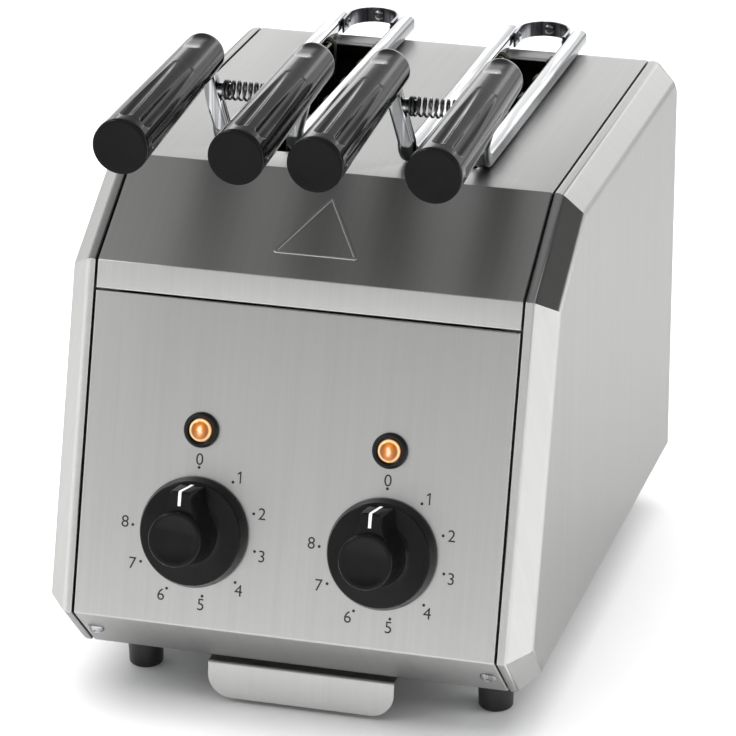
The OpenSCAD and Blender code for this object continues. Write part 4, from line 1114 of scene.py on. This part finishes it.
def make_lamp(tong):
    """A signal lamp: a black ring round a domed amber lens."""
    name = SIDES[tong]
    m = frame_on(E_FRONT, tong * SLOT_X, LAMP_S)
    profile = [(5.6, -6.0), (5.6, 1.2), (5.9, 2.2)] + arc(6.9, 1.4, 1.25, 130, 10, 8)
    profile += [(8.2, 0.9), (8.25, 0.0), (6.3, 0.0), (6.3, -6.0)]
    obj = turned(name + "_lamp_ring", profile + profile[:1], 64, "plastic", m, 40.0)
    settle(obj, "body", "black_plastic", name + "_lamp_bezel")
    bm = bmesh.new()
    r = 5.4
    lathe(bm, [(0.0, -6.0), (r, -6.0), (r, 1.9)] + dome(r, 1.9, 1.7, 12), 72)
    layer = bm.loops.layers.uv.new("face")
    for f in bm.faces:
        for point in f.loops:
            point[layer].uv = point.vert.co.xy / r
    obj = from_bmesh(name + "_lamp_lens_amber", bm, "amber", m, angle=40.0)
    settle(obj, "body", "amber_lens", name + "_lamp_lens")


def text_mesh(text, size):
    """Lettering made a flat mesh, centred, in millimetres in the X-Y plane."""
    curve = bpy.data.curves.new("numeral", "FONT")
    curve.body = text
    curve.size = size
    curve.align_x = "CENTER"
    curve.align_y = "CENTER"
    curve.extrude = INK
    curve.resolution_u = 6
    obj = bpy.data.objects.new("numeral", curve)
    bpy.context.scene.collection.objects.link(obj)
    bpy.context.view_layer.update()
    graph = bpy.context.evaluated_depsgraph_get()
    mesh = bpy.data.meshes.new_from_object(obj.evaluated_get(graph))
    bpy.data.objects.remove(obj)
    bpy.data.curves.remove(curve)
    xs = [v.co.x for v in mesh.vertices]
    ys = [v.co.y for v in mesh.vertices]
    mid = Vector(((min(xs) + max(xs)) / 2, (min(ys) + max(ys)) / 2, 0.0))
    mesh.transform(Matrix.Translation(-mid))
    return mesh


def numeral_one(height):
    """The figure one with its flag, as a flat mesh."""
    shape = ((0.0, -0.5), (0.12, -0.5), (0.12, 0.5), (0.02, 0.5), (-0.2, 0.34), (-0.2, 0.2), (0.0, 0.33))
    bm = bmesh.new()
    loft(bm, [[bm.verts.new((x * height, y * height, z)) for x, y in shape] for z in (-INK, INK)], caps=True)
    mesh = bpy.data.meshes.new("numeral")
    bm.to_mesh(mesh)
    bm.free()
    return mesh


def make_dial(tong, s):
    """The printed figures and dots round a timer knob."""
    name = SIDES[tong]
    m = frame_on(E_FRONT, tong * SLOT_X, KNOB_S)
    step = math.radians(33.75)
    size = s.numeral_size / MM
    r = s.numeral_radius / MM
    bm = bmesh.new()
    for k in range(9):
        mesh = numeral_one(size * 0.7) if k == 1 else text_mesh(str(k), size)
        a = step * k + (s.numeral_turn if k else 0.0)
        mesh.transform(Matrix.Translation((r * math.sin(a), r * math.cos(a), INK)))
        bm.from_mesh(mesh)
        bpy.data.meshes.remove(mesh)
    obj = from_bmesh(name + "_dial_numerals", bm, "ink", m, angle=30.0, merge=0)
    settle(obj, "body", "black_plastic")
    dot_r = s.dot_size / MM / 2
    profile = [(0.0, 0.0), (dot_r, 0.0), (dot_r, 2 * INK), (0.0, 2 * INK)]
    dot = turned("dot_template", profile, 16, "ink")
    r = s.dot_radius / MM
    points = [m @ Vector((r * math.sin(a), r * math.cos(a), 0.0)) for a in (step * k for k in range(9))]
    obj = stamped(name + "_dial_dots", dot, points, m.to_3x3().to_euler(), "ink")
    settle(obj, "body", "black_plastic")


# Feet and tray


def make_foot(node):
    """A rubber foot: a drum with a groove under its flange and a hollow in its sole."""
    lo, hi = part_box(node)
    c = (lo + hi) / 2 / MM
    h = (hi.z - lo.z) / MM
    top = (hi.x - lo.x) / MM / 2
    profile = [(0.0, 3.0), (3.0, 3.0), (3.0, 0.3), (3.3, 0.0)] + arc(top - 2.5, 1.6, 1.6, -90, 4, 8)
    profile += [(top - 0.15, h - 4.2), (top - 0.35, h - 3.9), (top - 0.35, h - 3.4), (top, h - 3.1)]
    profile += [(top, h - 0.4), (top - 0.3, h), (0.0, h)]
    m = Matrix.Translation((c.x, c.y, lo.z / MM))
    obj = turned(node + "_rubber", profile, 64, "rubber", m, 40.0)
    settle(obj, "body", "rubber", node)


def make_tray(s):
    """The crumb tray: a pan with a folded rim, and its pull flap bent down at the front."""
    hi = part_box("crumb_tray")[1] / MM
    wall_y = STRIP_RUN + TRAY_IN + TRAY_WALL - SHIFT_Y
    bed = TRAY_FLOOR + TRAY_SHEET
    levels = [(0.5, TRAY_FLOOR), (0.15, TRAY_FLOOR + 0.15), (0.0, TRAY_FLOOR + 0.5), (0.0, hi.z - 0.5)]
    levels += [(0.15, hi.z - 0.12), (0.4, hi.z), (0.65, hi.z - 0.12), (TRAY_SHEET, hi.z - 0.5)]
    levels += [(TRAY_SHEET, bed + 0.5), (TRAY_SHEET + 0.15, bed + 0.15), (TRAY_SHEET + 0.5, bed)]
    bm = bmesh.new()
    rings = []
    for pull, z in levels:
        x = TRAY_W / 2 - pull
        front = wall_y + pull
        rear = hi.y - pull
        rings.append([bm.verts.new(p) for p in ((-x, front, z), (x, front, z), (x, rear, z), (-x, rear, z))])
    loft(bm, rings, caps=True)
    obj = from_bmesh("crumb_tray_pan", bm, "tray", angle=40.0)
    settle(obj, "crumb_tray", "stainless_steel", "crumb_tray")
    bend = s.flap_bend / MM
    angle = math.atan2(FLAP_DROP, FLAP_RUN)
    cy = wall_y - TRAY_WALL + bend / math.tan(angle / 2 + math.pi / 4) + bend
    spine = [(wall_y + 0.4, bed)]
    turns = [angle * k / 8 for k in range(9)]
    spine += [(cy - bend * math.sin(a), bed - bend + bend * math.cos(a)) for a in turns]
    y, z = spine[-1]
    down = Vector((-FLAP_RUN, -FLAP_DROP)).normalized()
    foot = TRAY_FLOOR - FLAP_DROP
    reach = (z - foot) / -down.y
    for t in (reach - FLAP_R + FLAP_R * math.sin(a) for a in quarter(10)):
        spine.append((y + down.x * t, z + down.y * t))
    bm = bmesh.new()
    rows = []
    for y, z in spine:
        into = max(0.0, FLAP_R - (z - foot) / -down.y)
        x = FLAP_HALF - FLAP_R + math.sqrt(max(0.0, FLAP_R * FLAP_R - into * into))
        rows.append([bm.verts.new((x * q / 8.0, y, z)) for q in range(-8, 9)])
    loft(bm, rows, closed=False)
    flap = close_sheet("crumb_tray_flap", bm, "panel", (0.0, -1.0, 0.0), TRAY_SHEET)
    settle(flap, "crumb_tray", "stainless_steel")


# Stage


def studio_world(s):
    """White walls, high in front and behind and low at the sides, under a dark ceiling."""
    world = bpy.data.worlds.new("studio")
    world.use_nodes = True
    tree = world.node_tree
    back = tree.nodes["Background"]
    where = add(tree, "ShaderNodeTexCoord", out="Generated")
    x, y, z = add(tree, "ShaderNodeSeparateXYZ", {"Vector": where}, out=None).outputs
    wall_top = add(tree, "ShaderNodeMath", {0: y, 1: y}, operation="MULTIPLY")
    above = add(tree, "ShaderNodeMath", {0: wall_top, 1: -s.wall_rise, 2: z}, operation="MULTIPLY_ADD")
    depth = add(tree, "ShaderNodeMapRange", {"Value": y, "From Min": -1.0})
    lamp_side = Vector((0.77, 0.36, 0.53))
    flag = add(tree, "ShaderNodeVectorMath", {0: where, 1: lamp_side}, out="Value", operation="DOT_PRODUCT")
    width = add(tree, "ShaderNodeMath", {0: x}, operation="ABSOLUTE")
    light = None
    for amount, stops in (
        (above, [(0.0, 1.0), (0.08, 1.0), (0.26, s.ceiling), (1.0, s.ceiling * 0.8)]),
        (depth, [(0.1, s.front_wall), (0.45, 1.0), (1.0, 1.0)]),
        (flag, [(0.84, 1.0), (0.93, 0.15)]),
        (width, [(0.6, 1.0 / s.side_walls), (0.92, 1.0)]),
    ):
        stops = [(place, grey(value)) for place, value in stops]
        level = add(tree, "ShaderNodeValToRGB", {"Fac": amount}, stops)
        if light is not None:
            product = {"Factor": 1.0, 6: light, 7: level}
            level = add(tree, "ShaderNodeMix", product, out=2, data_type="RGBA", blend_type="MULTIPLY")
        light = level
    tree.links.new(light, back.inputs["Color"])
    back.inputs["Strength"].default_value = s.wall_light * s.side_walls
    return world


# Settings


def length_prop(name, description, default):
    return FloatProperty(name=name, description=description, default=default, unit="LENGTH")


def colour_prop(name, description, default):
    return FloatVectorProperty(
        name=name, description=description, default=default, subtype="COLOR_GAMMA", min=0.0, max=1.0)


def number_prop(name, description, default, subtype="NONE"):
    return FloatProperty(name=name, description=description, default=default, subtype=subtype)


class ToasterFinish(bpy.types.PropertyGroup):
    steel_colour: colour_prop("Steel colour", "sRGB colour of the brushed sheet", (0.748, 0.748, 0.744))
    # A slightly darker copy of the steel colour: painted shade for the control panel and the tray flap.
    panel_colour: colour_prop("Panel colour", "sRGB colour of the control panel's sheet", (0.72, 0.72, 0.716))
    black_colour: colour_prop("Handle colour", "sRGB colour of the bakelite handles", (0.05, 0.048, 0.047))
    amber_colour: colour_prop("Lamp colour", "sRGB colour of the signal lamps", (0.78, 0.45, 0.08))
    floor_colour: colour_prop("Floor colour", "sRGB colour of the paper sweep", (0.96, 0.96, 0.96))


class ToasterCasing(bpy.types.PropertyGroup):
    bend_radius: length_prop("Bend radius", "Outer radius of the folded sheet's bends", 0.0013)
    edge_radius: length_prop("Edge radius", "Radius of the turned-in side edges", 0.001)
    cap_bend: length_prop("Cap bend", "Radius of the end caps' pressed bends", 0.0056)
    rear_round: length_prop("Rear corner", "Radius of the casing's upper rear corners", 0.012)
    slot_lip: length_prop("Slot lip", "Radius of the rolled edge round each slot", 0.0012)
    bead_rise: length_prop("Bead rise", "Height of the triangular bead on the slope", 0.0005)
    flap_bend: length_prop("Flap bend", "Outer radius of the tray flap's bend", 0.0016)


class ToasterControls(bpy.types.PropertyGroup):
    pointer_width: length_prop("Pointer width", "Width of the knob's pointer at its tip", 0.009)
    index_width: length_prop("Index line", "Width of the white line on the pointer", 0.0014)
    numeral_size: length_prop("Numeral size", "Font size of the dial's numerals", 0.0078)
    numeral_radius: length_prop("Numeral circle", "Radius on which the numerals stand", 0.0335)
    numeral_turn: number_prop(
        "Numeral turn", "Turn of the numerals past their dots", math.radians(2.1), "ANGLE")
    dot_radius: length_prop("Dot circle", "Radius on which the dots stand", 0.0297)
    dot_size: length_prop("Dot size", "Diameter of a dial dot", 0.0014)


class ToasterTongs(bpy.types.PropertyGroup):
    flute_count: IntProperty(name="Flutes", description="Flutes round a handle", default=8, min=4, max=12)
    flute_depth: length_prop("Flute depth", "Depth of a flute at its front end", 0.0021)
    flute_radius: length_prop("Flute radius", "Radius of a flute", 0.0034)
    flute_rim: length_prop("Flute rim", "Rounding of the edges of a flute", 0.0004)
    pad_depth: length_prop("Thumb flat", "Depth of the flat near the rear of a handle", 0.0009)
    bar_round: length_prop("Bar corner", "Corner radius of the square bars", 0.0026)


class ToasterStage(bpy.types.PropertyGroup):
    key_power: number_prop("Key light", "Power of the main soft light in watts", 14.0)
    back_power: number_prop("Back light", "Power of the wide soft light behind in watts", 11.5)
    side_power: number_prop("Fill light", "Power of the fill light in watts", 25.0)
    floor_power: number_prop("Floor light", "Power of the light over the floor in watts", 165.0)
    wall_light: number_prop("Walls", "Strength of the white walls", 1.18)
    wall_rise: number_prop("Wall rise", "How much higher the front and back walls are", 0.32)
    front_wall: number_prop("Front wall", "Brightness of the front wall against the rest", 0.8)
    side_walls: number_prop("Side walls", "Brightness of the side walls against the rest", 1.7)
    ceiling: number_prop("Ceiling", "Brightness of the ceiling against the walls", 0.31)


# Operators


class TOASTER_OT_casing(bpy.types.Operator):
    """Makes the folded sheets and pressed end caps of the casing"""

    bl_idname = "toaster.casing"
    bl_label = "Casing"

    def execute(self, context):
        s = context.scene.toaster_casing
        make_top_cover(s)
        for tong in SIDES:
            make_collar(tong)
        make_triangle_bead(s)
        rows = turned_end(E_STRIP, 0.0, 1) + round_bend(1, s.bend_radius / MM)
        rows += turned_end(E_FRONT, edge_len(E_FRONT) - SEAM_DROP - LINE_GAP / 2, -1)
        make_panel("control_panel", rows, (0.0, -1.0, 0.0), s)
        rows = turned_end(E_REAR, REAR_TURN + LINE_GAP, 1) + turned_end(E_REAR, edge_len(E_REAR), -1)
        make_panel("rear_panel", rows, (0.0, 1.0, 0.0), s)
        for side in SIDES:
            make_end_cap(side, s)
        return {"FINISHED"}


class TOASTER_OT_oven(bpy.types.Operator):
    """Finishes the oven and the parts inside the casing"""

    bl_idname = "toaster.oven"
    bl_label = "Oven and inside parts"

    def execute(self, context):
        looks = {"base_pan": "zinc", "front_bulkhead": "zinc", "tray_rails": "zinc"}
        looks.update({"terminal_block": "ceramic", "cable_gland": "plastic"})
        for name in SIDES.values():
            looks[name + "_oven_liner"] = "liner"
            looks[name + "_quartz_tubes"] = "quartz"
            looks[name + "_tube_ceramics"] = "ceramic"
            looks[name + "_guard_rods"] = "wire"
            looks[name + "_timer"] = "zinc"
            looks[name + "_timer_shaft"] = "chrome"
        for node, key in looks.items():
            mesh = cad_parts[node].data
            mesh.materials.clear()
            mesh.materials.append(material(key))
        return {"FINISHED"}


class TOASTER_OT_controls(bpy.types.Operator):
    """Makes the timer knobs, signal lamps and printed dials"""

    bl_idname = "toaster.controls"
    bl_label = "Controls"

    def execute(self, context):
        s = context.scene.toaster_controls
        for tong in SIDES:
            make_knob(tong, s)
            make_lamp(tong)
            make_dial(tong, s)
        return {"FINISHED"}


class TOASTER_OT_fasteners(bpy.types.Operator):
    """Sets the domed screws of the bottom strip and the rear panel"""

    bl_idname = "toaster.fasteners"
    bl_label = "Screws"

    def execute(self, context):
        m = frame_on(E_STRIP, 0.0, edge_len(E_STRIP) * 0.5)
        points = [m @ Vector((side * (COVER_HALF - 6.0), 0.0, 0.0)) for side in SIDES]
        head = screw_template(8.0, 2.2)
        obj = stamped("strip_screw_heads", head, points, m.to_3x3().to_euler(), "chrome")
        settle(obj, "body", "chrome", "strip_screws")
        m = frame_on(E_REAR, 0.0, 0.0)
        x = COVER_HALF - 7.0
        points = [m @ Vector((side * x, t, 0.0)) for side in SIDES for t in (24.0, 110.0, 192.0)]
        head = screw_template(6.0, 1.6)
        obj = stamped("rear_panel_screw_heads", head, points, m.to_3x3().to_euler(), "chrome")
        settle(obj, "body", "chrome")
        return {"FINISHED"}


class TOASTER_OT_tongs(bpy.types.Operator):
    """Makes both pairs of tongs: bars, fluted handles, cages, bowed strips and coil springs"""

    bl_idname = "toaster.tongs"
    bl_label = "Tongs"

    def execute(self, context):
        s = context.scene.toaster_tongs
        for tong in SIDES:
            for side in SIDES:
                make_arm(tong, side, s)
                make_handle(tong, side, s)
                make_cage(tong, side)
            make_strip(tong)
            make_coil(tong)
        return {"FINISHED"}


class TOASTER_OT_base(bpy.types.Operator):
    """Makes the rubber feet and the crumb tray"""

    bl_idname = "toaster.base"
    bl_label = "Feet and crumb tray"

    def execute(self, context):
        for node in ("front_left_foot", "front_right_foot", "rear_left_foot", "rear_right_foot"):
            make_foot(node)
        make_tray(context.scene.toaster_casing)
        return {"FINISHED"}


class TOASTER_OT_stage(bpy.types.Operator):
    """Sets up the floor, the soft lights and the camera"""

    bl_idname = "toaster.stage"
    bl_label = "Stage"

    def execute(self, context):
        s = context.scene.toaster_stage
        mesh = bpy.data.meshes.new("paper_sweep")
        w = 6.0
        mesh.from_pydata([(-w, -w, 0.0), (w, -w, 0.0), (w, w, 0.0), (-w, w, 0.0)], [], [(0, 1, 2, 3)])
        floor = link("paper_sweep", mesh, "paper")
        context.scene.world = studio_world(s)
        lights = (
            ("key_softbox", (-1.7, -1.5, 1.9), (0.0, 0.0, 0.15), 0.8, 0.8, s.key_power, True),
            ("back_softbox", (-0.15, 3.0, 1.0), (0.0, 0.0, 0.25), 2.8, 0.9, s.back_power, True),
            ("right_fill", (2.4, 0.3, 1.3), (0.0, 0.1, 0.0), 1.4, 1.4, s.side_power, False),
            ("floor_light", (-0.3, -0.2, 3.0), (-0.3, -0.2, 0.0), 4.4, 4.0, s.floor_power, False),
        )
        for name, place, aim, width, height, power, mirrored in lights:
            data = bpy.data.lights.new(name, "AREA")
            data.shape = "RECTANGLE"
            data.size = width
            data.size_y = height
            data.energy = power
            lamp = bpy.data.objects.new(name, data)
            context.scene.collection.objects.link(lamp)
            lamp.location = place
            lamp.rotation_euler = (Vector(aim) - Vector(place)).to_track_quat("-Z", "Y").to_euler()
            lamp.visible_glossy = mirrored
        data = bpy.data.cameras.new("camera")
        data.lens = 202.645
        data.sensor_width = 36.0
        data.clip_end = 20.0
        camera = bpy.data.objects.new("camera", data)
        context.scene.collection.objects.link(camera)
        camera.location = (0.50685, (-1617.23 - SHIFT_Y) * MM, 0.88022)
        camera.rotation_euler = Euler((math.radians(67.665), math.radians(0.172), math.radians(15.977)))
        context.scene.camera = camera
        context.scene.view_settings.view_transform = "Standard"
        return {"FINISHED"}


class TOASTER_PT_panel(bpy.types.Panel):
    """Lists the steps that build the toaster"""

    bl_idname = "TOASTER_PT_panel"
    bl_label = "Sandwich toaster"
    bl_space_type = "VIEW_3D"
    bl_region_type = "UI"
    bl_category = "Toaster"

    def draw(self, context):
        for step in OPERATORS:
            self.layout.operator(step.bl_idname)


GROUPS = (
    (ToasterFinish, "toaster_finish"),
    (ToasterCasing, "toaster_casing"),
    (ToasterControls, "toaster_controls"),
    (ToasterTongs, "toaster_tongs"),
    (ToasterStage, "toaster_stage"),
)
OPERATORS = (
    TOASTER_OT_casing,
    TOASTER_OT_oven,
    TOASTER_OT_controls,
    TOASTER_OT_fasteners,
    TOASTER_OT_tongs,
    TOASTER_OT_base,
    TOASTER_OT_stage,
)


def register():
    for group, name in GROUPS:
        bpy.utils.register_class(group)
        setattr(bpy.types.Scene, name, PointerProperty(type=group))
    for step in OPERATORS:
        bpy.utils.register_class(step)
    bpy.utils.register_class(TOASTER_PT_panel)


def unregister():
    bpy.utils.unregister_class(TOASTER_PT_panel)
    for step in reversed(OPERATORS):
        bpy.utils.unregister_class(step)
    for group, name in reversed(GROUPS):
        delattr(bpy.types.Scene, name)
        bpy.utils.unregister_class(group)


def main():
    register()
    bpy.ops.toaster.casing()
    bpy.ops.toaster.oven()
    bpy.ops.toaster.controls()
    bpy.ops.toaster.fasteners()
    bpy.ops.toaster.tongs()
    bpy.ops.toaster.base()
    bpy.ops.toaster.stage()


if __name__ == "__main__":
    main()
